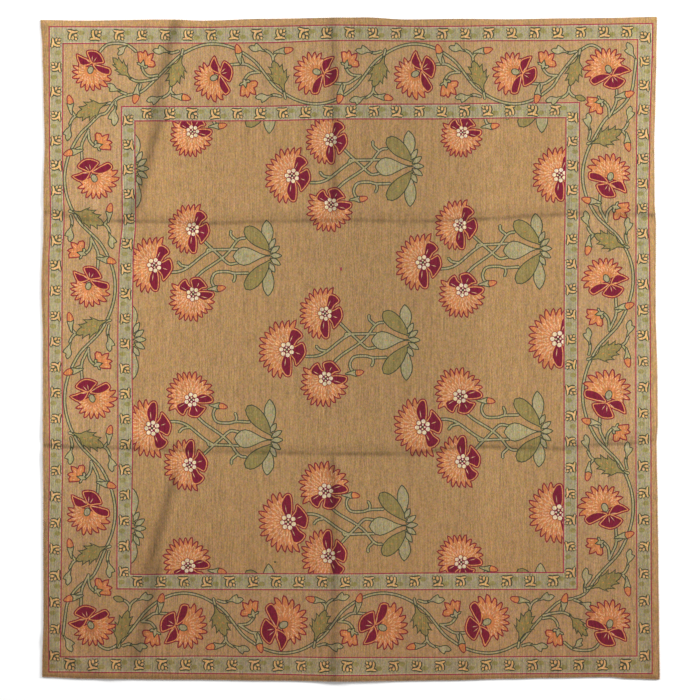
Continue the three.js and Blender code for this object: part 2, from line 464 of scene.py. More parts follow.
def fan_outline(shape):
    """A fan of pointed petals as a closed outline, opening towards +X, its tips leaning to its ends."""
    points = []
    half = shape["span"] / 2
    pitch = shape["span"] / shape["teeth"]
    for tooth in range(shape["teeth"]):
        middle = -half + (tooth + 0.5) * pitch
        tip = 0.5 + shape["lean"] * math.sin(math.radians(middle))
        grow = ((middle / half + 1) / 2) ** 1.6
        wide = shape["start"] + (shape["end"] - shape["start"]) * grow
        wide *= 1 + 0.035 * math.sin(2.1 * tooth + shape["teeth"])
        far = 1 - tip
        for share, out in ((0.0, 0.0), (tip * 0.28, 0.46), (tip * 0.64, 0.86), (tip, 1.0),
                           (tip + far * 0.42, 0.76), (tip + far * 0.76, 0.34)):
            angle = math.radians(middle + (share - 0.5) * pitch)
            radius = wide * (shape["notch"] + (1 - shape["notch"]) * out)
            points.append((radius * math.cos(angle), radius * math.sin(angle)))
    points.append((-14, 0.74 * shape["end"]))
    points.append((-14, -0.74 * shape["start"]))
    return np.array(points)


def flower(kind, x, y, turn, size=1.0, flip=1, inside=None, spread=(1, 1), petal_spread=(1, 1)):
    """The whole flower with its pistil at (x, y) and its fan opening along the turn, spread as given."""
    shape = FAN[kind]
    where = {"x": x, "y": y, "turn": turn, "size": size, "flip": flip}
    fan = placed(fan_outline(shape) * spread, **where)
    parts = PETALS[kind]
    petals = [placed(smooth(outline, 3, True) * petal_spread, **where) for outline in parts["outlines"]]
    petals = [grown(outline, parts["swell"]) for outline in petals]
    for outline in [fan] + petals:
        weave(grown(outline, EDGE_LINE / 2), "wine", inside)
    reach = (shape["start"] + shape["end"]) / 2 * size * sum(spread) / 2
    veins = {"x": x, "y": y, "turn": turn, "reach": reach, "pitch": shape["span"] / shape["teeth"]}
    weave(grown(fan, -EDGE_LINE / 2), "orange", inside, veins)
    for outline in petals:
        weave(grown(outline, -EDGE_LINE / 2), "apricot", inside)
    for outline in petals:
        weave(grown(outline, -EDGE_LINE / 2 - PETAL_RIM), "crimson", inside)
    for angle, near, far in parts["strokes"]:
        way = np.array((math.cos(math.radians(angle)), math.sin(math.radians(angle))))
        line = stroke(parts["meet"] + near * way, parts["meet"] + far * way, STROKE_HALF)
        weave(placed(line, **where), "peach", inside)
    if kind == "border":
        eye = placed(ellipse(-2, 0, PISTIL["rx"], PISTIL["ry"], 12), **where)
        weave(grown(eye, EDGE_LINE / 2), "bottle", inside)
        weave(grown(eye, -EDGE_LINE / 4), "sage", inside)
    else:
        seed_heads(where, inside)


def seed_heads(where, inside):
    """The ring of cream beads round the eye of a field flower."""
    weave(placed(ellipse(0, 0, BEAD_GROUND, BEAD_GROUND, 12), **where), "crimson", inside)
    beads = []
    for ring in (SEED_RING, INNER_RING):
        for i in range(ring["count"]):
            angle = 2 * math.pi * (i + 0.25) / ring["count"]
            beads.append((ring["radius"] * math.cos(angle), ring["radius"] * math.sin(angle), ring["bead"]))
    for spare, dye in ((BEAD_LINE, "crimson"), (0, "cream")):
        for bx, by, r in beads:
            weave(placed(ellipse(bx, by, r + spare, r + spare, 7), **where), dye, inside)
    weave(placed(ellipse(0, 0, EYE, EYE, 6), **where), "bottle", inside)


# Leaves, stems, buds and trumpet blossoms: the greenery that the border's vine and the field's sprays
# share. All are outlined in bottle green, and the lines open where stems run into each other.
STEM_HALF = 3.6
STEM_LINE = 4.4
BUD = ((-4, -13), (18, -16), (36, -9), (47, 2), (36, 12), (18, 15), (-4, 13))
CUP = ((-54, -3), (-31, -6), (-9, -15), (3, -18), (-3, 0), (3, 17), (-18, 14), (-54, 5))
BLOSSOM = ((13, -16), (40, -25), (63, -30), (68, -14), (62, -4), (77, 4), (70, 13), (54, 20), (63, 31),
           (68, 46), (49, 46), (34, 41), (30, 56), (12, 64), (2, 56), (0, 34), (5, 20))
BLOSSOM_STROKES = (
    ((34, -12), (54, -18)), ((38, 4), (62, 5)), ((34, 20), (54, 34)), ((18, 28), (18, 50)),
)
CALYX = ((-14, -5), (0, -7), (4, -22), (13, -27), (15, -17), (10, -8), (30, 3), (13, 11), (3, 12),
         (7, 25), (-3, 29), (-10, 20), (-6, 8), (-14, 4))
NOTCHED_LEAF = ((0, -3), (13, -6), (31, -20), (54, -30), (58, -14), (72, -13), (84, -1), (64, 13),
                (45, 13), (26, 3), (0, 3))
LEAF_EDGE = ((0.0, 0.04), (0.12, 0.12), (0.24, 0.26), (0.33, 0.58), (0.46, 1.0), (0.41, 0.66), (0.54, 0.76),
             (0.66, 0.96), (0.60, 0.58), (0.72, 0.58), (0.85, 0.70), (0.79, 0.36), (0.90, 0.30))
LEAF_FLECK = ((-9, 0), (0, 2.2), (9, 0), (0, -2.2))


def stems(lines, inside=None):
    """Several stems at once: all their dark lines first, then the sage yarn between the lines."""
    for extra, dye in ((STEM_LINE, "bottle"), (0, "leaf")):
        for line in lines:
            weave(ribbon(line, (STEM_HALF,), extra), dye, inside)


def outlined(points, dye, line_dye="bottle", inside=None, line=STEM_LINE):
    """A shape in one dye with a line of another round it."""
    weave(grown(points, line / 2), line_dye, inside)
    weave(grown(points, -line / 2), dye, inside)


def bud(x, y, turn, size=1.0, flip=1, inside=None):
    """A closed orange bud in its sage cup, pointing along the turn."""
    where = {"x": x, "y": y, "turn": turn, "size": size, "flip": flip}
    outlined(placed(smooth(BUD, 2, True), **where), "orange", "wine", inside)
    outlined(placed(smooth(CUP, 2, True), **where), "leaf", "bottle", inside)


def trumpet(x, y, turn, size=1.0, flip=1):
    """A small open blossom on its calyx, opening along the turn."""
    where = {"x": x, "y": y, "turn": turn, "size": size, "flip": flip}
    outlined(placed(BLOSSOM, **where), "orange", "wine", line=EDGE_LINE)
    for start, end in BLOSSOM_STROKES:
        weave(placed(stroke(start, end, 1.6), **where), "peach")
    outlined(placed(CALYX, **where), "leaf")


def notched_leaf(x, y, turn, size=1.0, flip=1):
    """A small sage leaf with one notch near its tip."""
    outlined(placed(smooth(NOTCHED_LEAF, 2, True), x, y, turn, size, flip), "leaf")


def lobed_leaf(base, tip, width, flip=1):
    """A broad olive leaf from its stalk to its tip, its far half sawn into pointed lobes."""
    base, tip = np.array(base, float), np.array(tip, float)
    length = float(np.linalg.norm(tip - base))
    turn = math.degrees(math.atan2(*(tip - base)[::-1]))
    sides = []
    for side in (-1, 1):
        lead = 0.03 * side
        sides.append([
            ((t + lead * min(1, 2 * t)) * length, side * share * width / 2) for t, share in LEAF_EDGE
        ])
    outline = sides[0] + [(length, 0)] + sides[1][::-1]
    where = {"x": base[0], "y": base[1], "turn": turn, "flip": flip}
    outlined(placed(outline, **where), "olive")
    for share, off, turned in ((0.40, 0.02, 5), (0.55, -0.14, -30), (0.60, 0.12, 35), (0.74, -0.02, 0)):
        weave(placed(placed(LEAF_FLECK, share * length, off * width, turned), **where), "rust")


# The winding vine of the main border: it swings from side to side past twenty flowers, and each swing
# carries one flower, one trumpet blossom, two buds, a lobed leaf and two small leaves.
# The flowers are listed clockwise from the head's left corner.
BORDER_FLOWERS = {
    "x": (-1160, -609, -150, 291, 738, 1155, 1166, 1146, 1158, 1139,
          1163, 615, 148, -294, -744, -1157, -1175, -1151, -1169, -1142),
    "y": (1246, 1212, 1240, 1229, 1240, 1254, 774, 318, -203, -706,
          -1226, -1219, -1246, -1232, -1246, -1236, -730, -222, 280, 762),
    "size": (0.88, 0.91, 0.96, 0.97, 0.95, 0.95, 0.95, 0.93, 1.06, 1.02,
             1.00, 1.03, 1.06, 1.09, 1.01, 0.94, 0.96, 0.94, 0.88, 0.94),
}
PER_SIDE = 5
INNER_CORNER_PITCH = 0.83
INNER_TURN = 163
OUTER_TURN = 206
SWAY = {"cross": 134, "side": 113}
MIDDLE_WEST = -1162
MIDDLE_EAST = 1154
MIDDLE_HEAD = 1230
MIDDLE_FOOT = -1225
CORNER_ROUND = (-0.16, -0.08, 0, 0.08, 0.16)
FLOWERS = len(BORDER_FLOWERS["x"])


def middle_line(at):
    """The straight-sided middle line of the border, at a flower's number."""
    low = int(at) % FLOWERS
    share = at - int(at)
    x0, x1 = BORDER_FLOWERS["x"][low], BORDER_FLOWERS["x"][(low + 1) % FLOWERS]
    y0, y1 = BORDER_FLOWERS["y"][low], BORDER_FLOWERS["y"][(low + 1) % FLOWERS]
    x, y = x0 + share * (x1 - x0), y0 + share * (y1 - y0)
    side = int(at) // PER_SIDE % 4
    return np.array([(x, MIDDLE_HEAD), (MIDDLE_EAST, y), (x, MIDDLE_FOOT), (MIDDLE_WEST, y)][side])


def corner_rounded(at):
    """The middle line with its corners cut round."""
    return np.mean([middle_line((at + step) % FLOWERS) for step in CORNER_ROUND], axis=0)


def border_point(number, along, out):
    """A place in the border: a share of the way past a flower, and a share of the sway outwards."""
    if number % (2 * PER_SIDE) == 0:
        along = 1 - (1 - along) * INNER_CORNER_PITCH
    at = (number + along) % FLOWERS
    here = corner_rounded(at)
    ahead = corner_rounded((at + 0.02) % FLOWERS)
    run = (ahead - here) / (np.linalg.norm(ahead - here) + 1e-9)
    sway = SWAY["cross"] * abs(run[0]) + SWAY["side"] * abs(run[1])
    return here + np.array([-run[1], run[0]]) * out * sway


def near_flower(number, places):
    """Places given from a corner flower, turned half round for the two foot corners."""
    side = 1 if number < FLOWERS / 2 else -1
    centre = np.array((BORDER_FLOWERS["x"][number], BORDER_FLOWERS["y"][number]), float)
    return [centre + side * np.array(p, float) for p in places]


VINE_STEPS = 12
INNER_CORNER_VINE = ((72, -188), (112, -134), (161, -112), (224, -98), (277, -54), (331, 0))
OUTER_CORNER_END = ((-215, -27), (-170, 31), (-125, 80), (-80, 105), (-45, 94), (-27, 72))
OUTER_CORNER_START = ((125, 40), (116, -36), (107, -94), (85, -139), (45, -183), (-13, -228))


def vine_run(first, last, start, end):
    """The vine from one outer corner to the next, past the inner corner between them."""
    line = list(near_flower(first % FLOWERS, start))
    for number in range(first, last):
        inner = -1 if number % 2 == 0 else 1
        if number % (2 * PER_SIDE) == 0:
            line += near_flower(number % FLOWERS, INNER_CORNER_VINE)
        for step in range(VINE_STEPS):
            along = step / VINE_STEPS
            if number == first and along < 0.6 or number == last - 1 and along > 0.42:
                continue
            if number % (2 * PER_SIDE) == 0 and along < 0.66:
                continue
            if (number + 1) % (2 * PER_SIDE) == 0 and along > 0.6:
                continue
            swing = math.cos(math.pi * along)
            swing = math.copysign(abs(swing) ** 0.75, swing)
            line.append(border_point(number, along, inner * swing))
    return line + list(near_flower(last % FLOWERS, end))


UNIT_STEMS = (
    ((0.45, 0.06), (0.36, 0.02), (0.31, -0.14), (0.30, -0.28)),
    ((0.29, 0.33), (0.28, 0.46), (0.26, 0.62)),
    ((0.70, -0.82), (0.69, -0.66), (0.68, -0.52)),
    ((0.585, 0.42), (0.58, 0.56), (0.62, 0.72), (0.68, 0.80)),
    ((0.58, 0.56), (0.55, 0.70), (0.50, 0.80)),
    ((0.66, -0.76), (0.60, -0.70), (0.56, -0.72)),
)
NARROW_LEAVES = {
    4: {"base": (1026, 1315), "tip": (986, 1176), "width": 84},
    14: {"base": (-1042, -1338), "tip": (-992, -1166), "width": 86},
}
LOBED_LEAF_WIDTH = 92
SMALL_LEAF = ((-2, -4), (14, -13), (34, -12), (50, 0), (34, 13), (14, 14), (-2, 4))
FLOWER_STEM = ((0.14, 0.30), (0.30, 0.33), (0.38, 0.20), (0.45, 0.04))


def vine_unit(number):
    """Everything that one swing of the vine carries."""
    side = -1 if number % 2 == 0 else 1

    def at(along, inwards):
        return border_point(number, along, inwards * side)

    def heading(a, b):
        d = at(*b) - at(*a)
        return math.degrees(math.atan2(d[1], d[0]))

    before_corner = (number + 1) % (2 * PER_SIDE) == 0
    after_corner = number % (2 * PER_SIDE) == 0
    lines = list(UNIT_STEMS[1:])
    if before_corner:
        lines = lines[:-1]
    if not after_corner:
        lines += [UNIT_STEMS[0], FLOWER_STEM]
    stems([[at(*p) for p in line] for line in lines])
    narrow = NARROW_LEAVES.get(number)
    if narrow:
        lobed_leaf(narrow["base"], narrow["tip"], narrow["width"], side)
    elif number // PER_SIDE % 2 == 0:
        lobed_leaf(at(0.69, -0.60), at(0.585, 0.44), LOBED_LEAF_WIDTH, side)
    else:
        lobed_leaf(at(0.70, -0.68), at(0.58, 0.56), LOBED_LEAF_WIDTH, side)
    bud(*at(0.245, 0.69), heading((0.265, 0.5), (0.24, 0.95)), 0.88, side)
    if narrow:
        turn = heading((0.62, 0.74), (0.72, 0.84))
        outlined(placed(smooth(SMALL_LEAF, 2, True), *at(0.655, 0.76), turn, 0.9), "olive")
    else:
        bud(*at(0.69, 0.77), heading((0.62, 0.74), (0.72, 0.80)), 0.86, side)
    trumpet(*at(0.30, -0.27), heading((0.295, -0.2), (0.312, -0.6)), 0.92, side)
    notched_leaf(*at(0.50, 0.76), heading((0.52, 0.76), (0.42, 0.84)), 0.88, side)
    if not before_corner:
        notched_leaf(*at(0.57, -0.72), heading((0.60, -0.72), (0.48, -0.76)), 0.9, -side)


INNER_CORNER_STEMS = (
    ((40, 80), (70, 112), (110, 121), (165, 114), (205, 84)),
    ((176, -34), (200, -46), (223, -49), (262, -44), (300, -34)),
    ((302, -22), (262, -26), (240, -8), (232, 14)),
    ((161, -106), (140, -98), (124, -88)),
    ((112, -140), (114, -160), (112, -176)),
)
INNER_CORNER_LEAVES = (
    {"at": (165, 112), "turn": 228, "size": 0.72, "flip": 1},
    {"at": (134, -92), "turn": 152, "size": 0.80, "flip": -1},
    {"at": (112, -160), "turn": -92, "size": 1.05, "flip": 1},
)
OUTER_CORNER_LEAF = {"at": (121, 46), "turn": 116, "size": 0.95, "flip": -1}

stems([vine_run(-PER_SIDE, PER_SIDE, OUTER_CORNER_START, OUTER_CORNER_END),
       vine_run(PER_SIDE, 3 * PER_SIDE, OUTER_CORNER_START, OUTER_CORNER_END)])
for number in range(FLOWERS):
    vine_unit(number)
for number in (0, 2 * PER_SIDE):
    half_turn = 0 if number == 0 else 180
    stems([near_flower(number, line) for line in INNER_CORNER_STEMS])
    lobed_leaf(*near_flower(number, ((182, -38), (100, 56))), 62, -1)
    for leaf in INNER_CORNER_LEAVES:
        spot = near_flower(number, (leaf["at"],))[0]
        notched_leaf(*spot, leaf["turn"] + half_turn, leaf["size"], leaf["flip"])
for number in (PER_SIDE, 3 * PER_SIDE):
    half_turn = 0 if number == PER_SIDE else 180
    leaf = OUTER_CORNER_LEAF
    spot = near_flower(number, (leaf["at"],))[0]
    notched_leaf(*spot, leaf["turn"] + half_turn, leaf["size"], leaf["flip"])
for number in range(FLOWERS):
    heading_now = (0, -90, 180, 90)[number // PER_SIDE]
    if number % (2 * PER_SIDE) == PER_SIDE:
        heading_now = (-90, 90)[number // (2 * PER_SIDE)]
    if number % (2 * PER_SIDE) == 0:
        heading_now = (90, -90)[number // (2 * PER_SIDE)]
    turn = heading_now + (INNER_TURN if number % 2 == 0 else OUTER_TURN) + draw_seed.uniform(-3, 3)
    flower("border", BORDER_FLOWERS["x"][number], BORDER_FLOWERS["y"][number], turn,
           BORDER_FLOWERS["size"][number])

# The sprays of the plain field: offset rows of one plant lying on its side, with three flowers and a
# bud on crossing stems, and five leaves round its root. Those at the field's edges are cut by it.
# Above the field's middle the bud hangs on the foot side, below it on the head side (flip).
SPRAYS = {
    "x": (287, 270, 260, -348, -343, 859, 863, -343, 873, -345, 864, 1476, 1476, 1463, -942, -955, -955),
    "y": (820, 43, -790, 420, -408, 451, -370, 1147, 1150, -1143, -1140, 823, 90, -766, 809, 45, -804),
    "tilt": (0, 0, 3, 0, -1, 2, 2.5, 0, 1, 0, -2, 0, 0, 1, 0, 0, 0),
    "flip": (1, 1, -1, 1, -1, 1, -1, 1, 1, -1, -1, 1, 1, -1, 1, 1, -1),
    "flowers_from": (0, 0, 0, 0, 0, 0, 0, 1, 1, 1, 1, 0, 0, 0, 0, 0, 0),
    "bloom": (1, 1.04, 1.09, 1.00, 1.04, 1.01, 1.06, 0.93, 0.91, 1.04, 1.01, 1, 1.11, 1.10, 1, 1, 1),
    "over": (-7, -14, 4, 12, -4, 4, 2, 4, -8, -14, -8, 0, -6, 8, 0, 0, 0),
}
SPRAY_FLOWERS = (
    {"x": -538, "y": -45, "turn": 165, "size": 1.0, "spread": (0.92, 0.97)},
    {"x": -367, "y": 116, "turn": 165, "size": 0.93, "spread": (0.90, 0.92)},
    {"x": -364, "y": -175, "turn": 247, "size": 0.95, "spread": (1.0, 0.82), "petals": (1.0, 0.82)},
)
SPRAY_STEMS = (
    ((-466, -76), (-420, -74), (-376, -55), (-313, -5), (-278, 18), (-258, 24), (-205, 25), (-152, 27)),
    ((-376, -52), (-404, -46), (-420, -30)),
    ((-262, 22), (-285, 26), (-291, 14)),
    ((-322, 82), (-282, 42), (-232, -4), (-205, -30), (-185, -40), (-152, -34)),
    ((-340, -100), (-304, -68), (-232, -20), (-192, 16), (-160, 60), (-140, 74), (-120, 76)),
    ((-160, 68), (-182, 88), (-184, 108)),
    ((-240, -146), (-262, -136), (-269, -108), (-250, -78), (-198, -74), (-168, -81), (-106, -80)),
    ((-168, -80), (-165, -100), (-172, -118)),
)
SPRAY_BUD = {"x": -244, "y": -150, "turn": 6, "size": 0.8}
SAGE_LEAF = {"width": 52, "widest": 0.62, "blunt": 0.75, "neck": 1.5, "dye": "leaf"}
OLIVE_LEAF = {"width": 66, "widest": 0.64, "blunt": 0.42, "neck": 1.0, "dye": "olive"}
MIDDLE_LEAF = {"width": 82, "widest": 0.74, "blunt": 0.80, "neck": 2.4, "dye": "leaf"}
ROOT_LEAF = {"width": 24, "widest": 0.42, "blunt": 0.7, "neck": 1.5, "dye": "leaf"}
SPRAY_LEAVES = (
    {"root": (-13, 27), "tip": (-25, 156), **SAGE_LEAF},
    {"root": (-13, -36), "tip": (-18, -183), **SAGE_LEAF},
    {"root": (-3, 16), "tip": (-120, 124), **OLIVE_LEAF},
    {"root": (-3, -20), "tip": (-118, -152), **OLIVE_LEAF},
    {"root": (-3, -2), "tip": (-174, -6), **MIDDLE_LEAF},
)
ROOT_LEAVES = (
    {"root": (-12, 26), "tip": (14, 74), **ROOT_LEAF},
    {"root": (-8, 9), "tip": (34, 40), **ROOT_LEAF},
    {"root": (-10, -1), "tip": (44, -3), **ROOT_LEAF},
    {"root": (-8, -14), "tip": (38, -44), **ROOT_LEAF},
    {"root": (-12, -34), "tip": (12, -76), **ROOT_LEAF},
)
BLADE_PLACES = (0.14, 0.28, 0.44, 0.58, 0.72, 0.84, 0.94)
SPRAY_FLECK = ((-6, 0), (0, 2.2), (6, 0), (0, -2.2))


def blade(leaf):
    """A smooth leaf from its root to its tip, widest part of the way along, more or less blunt."""
    root, tip = np.array(leaf["root"], float), np.array(leaf["tip"], float)
    widest = leaf["widest"]
    length = float(np.linalg.norm(tip - root))
    turn = math.degrees(math.atan2(*(tip - root)[::-1]))
    sides = []
    for side in (-1, 1):
        for t in BLADE_PLACES:
            if t < widest:
                swell = math.sin(t / widest * math.pi / 2) ** leaf["neck"]
            else:
                swell = math.cos((t - widest) / (1 - widest) * math.pi / 2) ** leaf["blunt"]
            sides.append((t * length, side * leaf["width"] / 2 * swell))
    count = len(BLADE_PLACES)
    outline = [(0, -2), (0, 2)] + sides[count:] + [(length, 0)] + sides[:count][::-1]
    return placed(outline, *root, turn)


def spray(x, y, tilt, flip, flowers_from, bloom_size, over):
    """One whole plant, its root at (x, y) and its flowers to the left."""
    where = {"x": x, "y": y, "turn": tilt, "flip": flip}

    def here(points):
        return placed(points, **where)

    stems([here(line) for line in SPRAY_STEMS], field)
    tip = here(((SPRAY_BUD["x"], SPRAY_BUD["y"]),))[0]
    bud(*tip, SPRAY_BUD["turn"] * flip + tilt, SPRAY_BUD["size"], flip, field)
    for leaf in SPRAY_LEAVES:
        outlined(here(blade(leaf)), leaf["dye"], "bottle", field)
    for leaf in SPRAY_LEAVES:
        for share in (0.45, 0.62):
            weave(here(np.array(SPRAY_FLECK) + np.array(leaf["tip"]) * share), "rust", field)
    for leaf in ROOT_LEAVES:
        outlined(here(blade(leaf)), leaf["dye"], "bottle", field)
    for bloom in SPRAY_FLOWERS[flowers_from:]:
        eye = here(((bloom["x"] + over, bloom["y"]),))[0]
        turn = bloom["turn"] if flip == 1 else -bloom["turn"]
        flower("field", *eye, turn + tilt, bloom["size"] * bloom_size, flip, field,
               bloom["spread"], bloom.get("petals", (1, 1)))


for row in zip(*SPRAYS.values()):
    spray(*row)

# The knots: three small places where a thread was mended, and a little darker wool yarn shows on the
# face of the cloth.
KNOTS = (
    {"x": 1355, "y": 1306, "rx": 4, "ry": 7, "dye": "cherry"},
    {"x": -39, "y": 358, "rx": 5, "ry": 9, "dye": "cherry"},
    {"x": -334, "y": -952, "rx": 6, "ry": 4, "dye": "bottle"},
)
for knot in KNOTS:
    weave(ellipse(knot["x"], knot["y"], knot["rx"], knot["ry"], 7), knot["dye"])

# The cloth itself: the whole design cut into one mesh, so that each area of yarn has its true edge,
# laid over the folds. Its underside and rounded rim close it to a sheet as thick as the real one.
FINE_COLUMNS = 84
FINE_ROWS = 96
CROWDED_X = (-48, -850)
CROWDED_Y = (580, -445)
SAME_PLACE = 1e-4
RIM_STEP = 16
SNAP = 0.5
RIM_ROUND = 1.6
ALL_AT_ONCE = 400000


def crowded(low, high, count, places, reach=120.0, strength=2.2):
    """Places from low to high that stand closer together near the folds."""
    t = np.linspace(low, high, 2000)
    density = np.ones_like(t)
    for place in places:
        density += strength * np.exp(-(((t - place) / reach) ** 2))
    total = np.concatenate([[0], np.cumsum((density[1:] + density[:-1]) / 2)])
    return np.interp(np.linspace(0, total[-1], count), total, t)


def inside_outline(points, outline):
    """Which points lie inside a closed outline, counted by the outline's windings."""
    a, b = outline, np.roll(outline, -1, axis=0)
    if len(points) * len(outline) < ALL_AT_ONCE:
        px, py = points[:, :1], points[:, 1:]
        side = (b[:, 0] - a[:, 0]) * (py - a[:, 1]) - (px - a[:, 0]) * (b[:, 1] - a[:, 1])
        up = (a[:, 1] <= py) & (b[:, 1] > py) & (side > 0)
        down = (a[:, 1] > py) & (b[:, 1] <= py) & (side < 0)
        return up.sum(axis=1) != down.sum(axis=1)
    order = np.argsort(points[:, 1])
    px, py = points[order].T
    turns = np.zeros(len(points), int)
    for (ax, ay), (bx, by) in zip(a, b):
        low, high = np.searchsorted(py, (min(ay, by), max(ay, by)))
        side = (bx - ax) * (py[low:high] - ay) - (px[low:high] - ax) * (by - ay)
        turns[low:high] += side > 0 if by > ay else -(side < 0).astype(int)
    inside = np.zeros(len(points), bool)
    inside[order] = turns != 0
    return inside


def rim_loop():
    """The rug's four sides as one closed line, anticlockwise from the foot's left corner."""
    x = np.linspace(-WIDTH / 2, WIDTH / 2, int(WIDTH / RIM_STEP))
    y = np.linspace(-LENGTH / 2, LENGTH / 2, int(LENGTH / RIM_STEP))
    sides = [
        (x[:-1], np.full(len(x) - 1, -LENGTH / 2)),
        (np.full(len(y) - 1, WIDTH / 2), y[:-1]),
        (x[::-1][:-1], np.full(len(x) - 1, LENGTH / 2)),
        (np.full(len(y) - 1, -WIDTH / 2), y[::-1][:-1]),
    ]
    flat_x = np.concatenate([s[0] for s in sides])
    flat_y = np.concatenate([s[1] for s in sides])
    return np.stack(lay(flat_x, flat_y), 1)


def closed_edges(first, count):
    """The edges that join a run of points into a closed line."""
    ids = first + np.arange(count)
    return np.stack([ids, np.roll(ids, -1)], 1)


def cut(points, edges):
    """Cuts the plane into triangles along all the edges. Gives the places, the triangles, where each
    point went, and each cut edge's two ends with the number of the edge that it is a part of."""
    result = delaunay_2d_cdt([Vector(p) for p in points], edges.tolist(), [], 0, SAME_PLACE, True)
    places = np.array([tuple(v) for v in result[0]])
    triangles = np.array([f for f in result[2] if len(f) == 3])
    along = np.array([(*ends, parts[0]) for ends, parts in zip(result[1], result[4]) if parts])
    went = np.zeros(len(points), int)
    for new, old in enumerate(result[3]):
        went[old] = new
    return places, triangles, went, along


def half_edges(triangles):
    """Each triangle's three edges in its own direction, and the triangle they belong to."""
    ends = np.concatenate([triangles[:, [0, 1]], triangles[:, [1, 2]], triangles[:, [2, 0]]])
    return ends, np.tile(np.arange(len(triangles)), 3)


def across_edges(triangles, size):
    """For each half edge, the triangle on its other side, or -1 at the rim."""
    ends, owner = half_edges(triangles)
    code = ends[:, 0] * size + ends[:, 1]
    back = ends[:, 1] * size + ends[:, 0]
    order = np.argsort(code)
    spot = np.clip(np.searchsorted(code[order], back), 0, len(code) - 1)
    found = code[order][spot] == back
    return np.where(found, owner[order][spot], -1)


def areas_under(middles):
    """The number of the last woven area over each point, or -1 on the bare ground."""
    area_of = np.full(len(middles), -1)
    order = np.argsort(middles[:, 0])
    sorted_x = middles[order, 0]
    in_field = inside_outline(middles, field)
    for number, (outline, dye, inside, veins) in enumerate(woven):
        low, high = outline.min(axis=0), outline.max(axis=0)
        run = order[np.searchsorted(sorted_x, low[0]) : np.searchsorted(sorted_x, high[0])]
        run = run[(middles[run, 1] > low[1]) & (middles[run, 1] < high[1])]
        if inside is not None:
            run = run[in_field[run]]
        if len(run):
            area_of[run[inside_outline(middles[run], outline)]] = number
    return area_of


rim = rim_loop()
columns = crowded(-WIDTH / 2, WIDTH / 2, FINE_COLUMNS, CROWDED_X)[1:-1]
rows = crowded(-LENGTH / 2, LENGTH / 2, FINE_ROWS, CROWDED_Y)[1:-1]
grid_x, grid_y = (g.ravel() for g in np.meshgrid(columns, rows))
grid = np.stack(lay(grid_x, grid_y), 1)

points = [rim]
edges = [closed_edges(0, len(rim))]
total = len(rim)
for outline, dye, inside, veins in woven:
    points.append(outline)
    edges.append(closed_edges(total, len(outline)))
    total += len(outline)
places, triangles, went, _ = cut(np.concatenate(points), np.concatenate(edges))
middles = places[triangles].mean(axis=1)
keep = inside_outline(middles, rim)
triangles, middles = triangles[keep], middles[keep]
area_of = areas_under(middles)
dye_names = list(DYES)
dye_of_area = np.array([dye_names.index(dye) for outline, dye, inside, veins in woven] + [0])

# Only the lines where two dyes meet are kept, and the cloth is cut once more along them.
ends, owner = half_edges(triangles)
other = across_edges(triangles, len(places))
dye_of = dye_of_area[area_of]
shown = (other < 0) | (dye_of[owner] != dye_of[other])
kept_ends, kept_area = ends[shown], area_of[owner[shown]]
snapped = np.round(places / SNAP) * SNAP
snapped[went[: len(rim)]] = rim
used, kept_ids = np.unique(kept_ends.ravel(), return_inverse=True)
kept_ids = kept_ids.reshape(-1, 2)
merged, merged_ids = np.unique(snapped[used], axis=0, return_inverse=True)
kept_ids = merged_ids.ravel()[kept_ids]
real = kept_ids[:, 0] != kept_ids[:, 1]
kept_ids, kept_area = kept_ids[real], kept_area[real]
lines, line_of_kept = np.unique(np.sort(kept_ids, axis=1), axis=0, return_inverse=True)
kept_from = merged[lines[:, 0]]
kept_run = merged[lines[:, 1]] - kept_from
forward = (kept_ids[:, 0] == lines[line_of_kept.ravel(), 0]).astype(int)
beside = np.full((len(lines), 2), -2)
beside[line_of_kept.ravel(), forward] = kept_area
places, triangles, _, along = cut(np.concatenate([merged, grid]), lines)
triangles = triangles[inside_outline(places[triangles].mean(axis=1), rim)]
ends, owner = half_edges(triangles)
other = across_edges(triangles, len(places))
code = np.minimum(ends[:, 0], ends[:, 1]) * len(places) + np.maximum(ends[:, 0], ends[:, 1])
wall_code = np.minimum(along[:, 0], along[:, 1]) * len(places) + np.maximum(along[:, 0], along[:, 1])
order = np.argsort(wall_code)
spot = np.clip(np.searchsorted(wall_code[order], code), 0, len(order) - 1)
walls = wall_code[order][spot] == code
line_here = along[order][spot, 2]
same_way = np.sum((places[ends[:, 1]] - places[ends[:, 0]]) * kept_run[line_here], axis=1) > 0
area_here = beside[line_here, same_way.astype(int)]
known = walls & (area_here != -2)
open_ends = ~walls & (other >= 0)

# Triangles that no kept line parts belong to one patch of yarn, and its longest edges say which.
patch = np.arange(len(triangles))
while True:
    least = patch.copy()
    np.minimum.at(least, owner[open_ends], patch[other[open_ends]])
    least = least[least]
    if (least == patch).all():
        break
    patch = least
edge_length = np.linalg.norm(places[ends[:, 0]] - places[ends[:, 1]], axis=1)[known]
vote = patch[owner[known]] * (len(woven) + 1) + area_here[known] + 1
voted, vote_of = np.unique(vote, return_inverse=True)
weight = np.bincount(vote_of.ravel(), edge_length)
ranked = np.argsort(weight, kind="stable")
area_of_patch = np.full(len(triangles), -1)
area_of_patch[voted[ranked] // (len(woven) + 1)] = voted[ranked] % (len(woven) + 1) - 1
area_of = area_of_patch[patch]


def flat_of(laid):
    """Where points of the laid rug were on the straight rectangle."""
    moved_x, moved_y = lay(laid[:, 0], laid[:, 1])
    return 2 * laid[:, 0] - moved_x, 2 * laid[:, 1] - moved_y


rim_count = len(rim)
rim_inwards = grown(rim, -RIM_ROUND)
rim_ids = np.array([int(np.argmin(np.sum((places - p) ** 2, axis=1))) for p in rim])
top = places.copy()
top[rim_ids] = rim_inwards
top_z = lift(*flat_of(places)) + THICKNESS

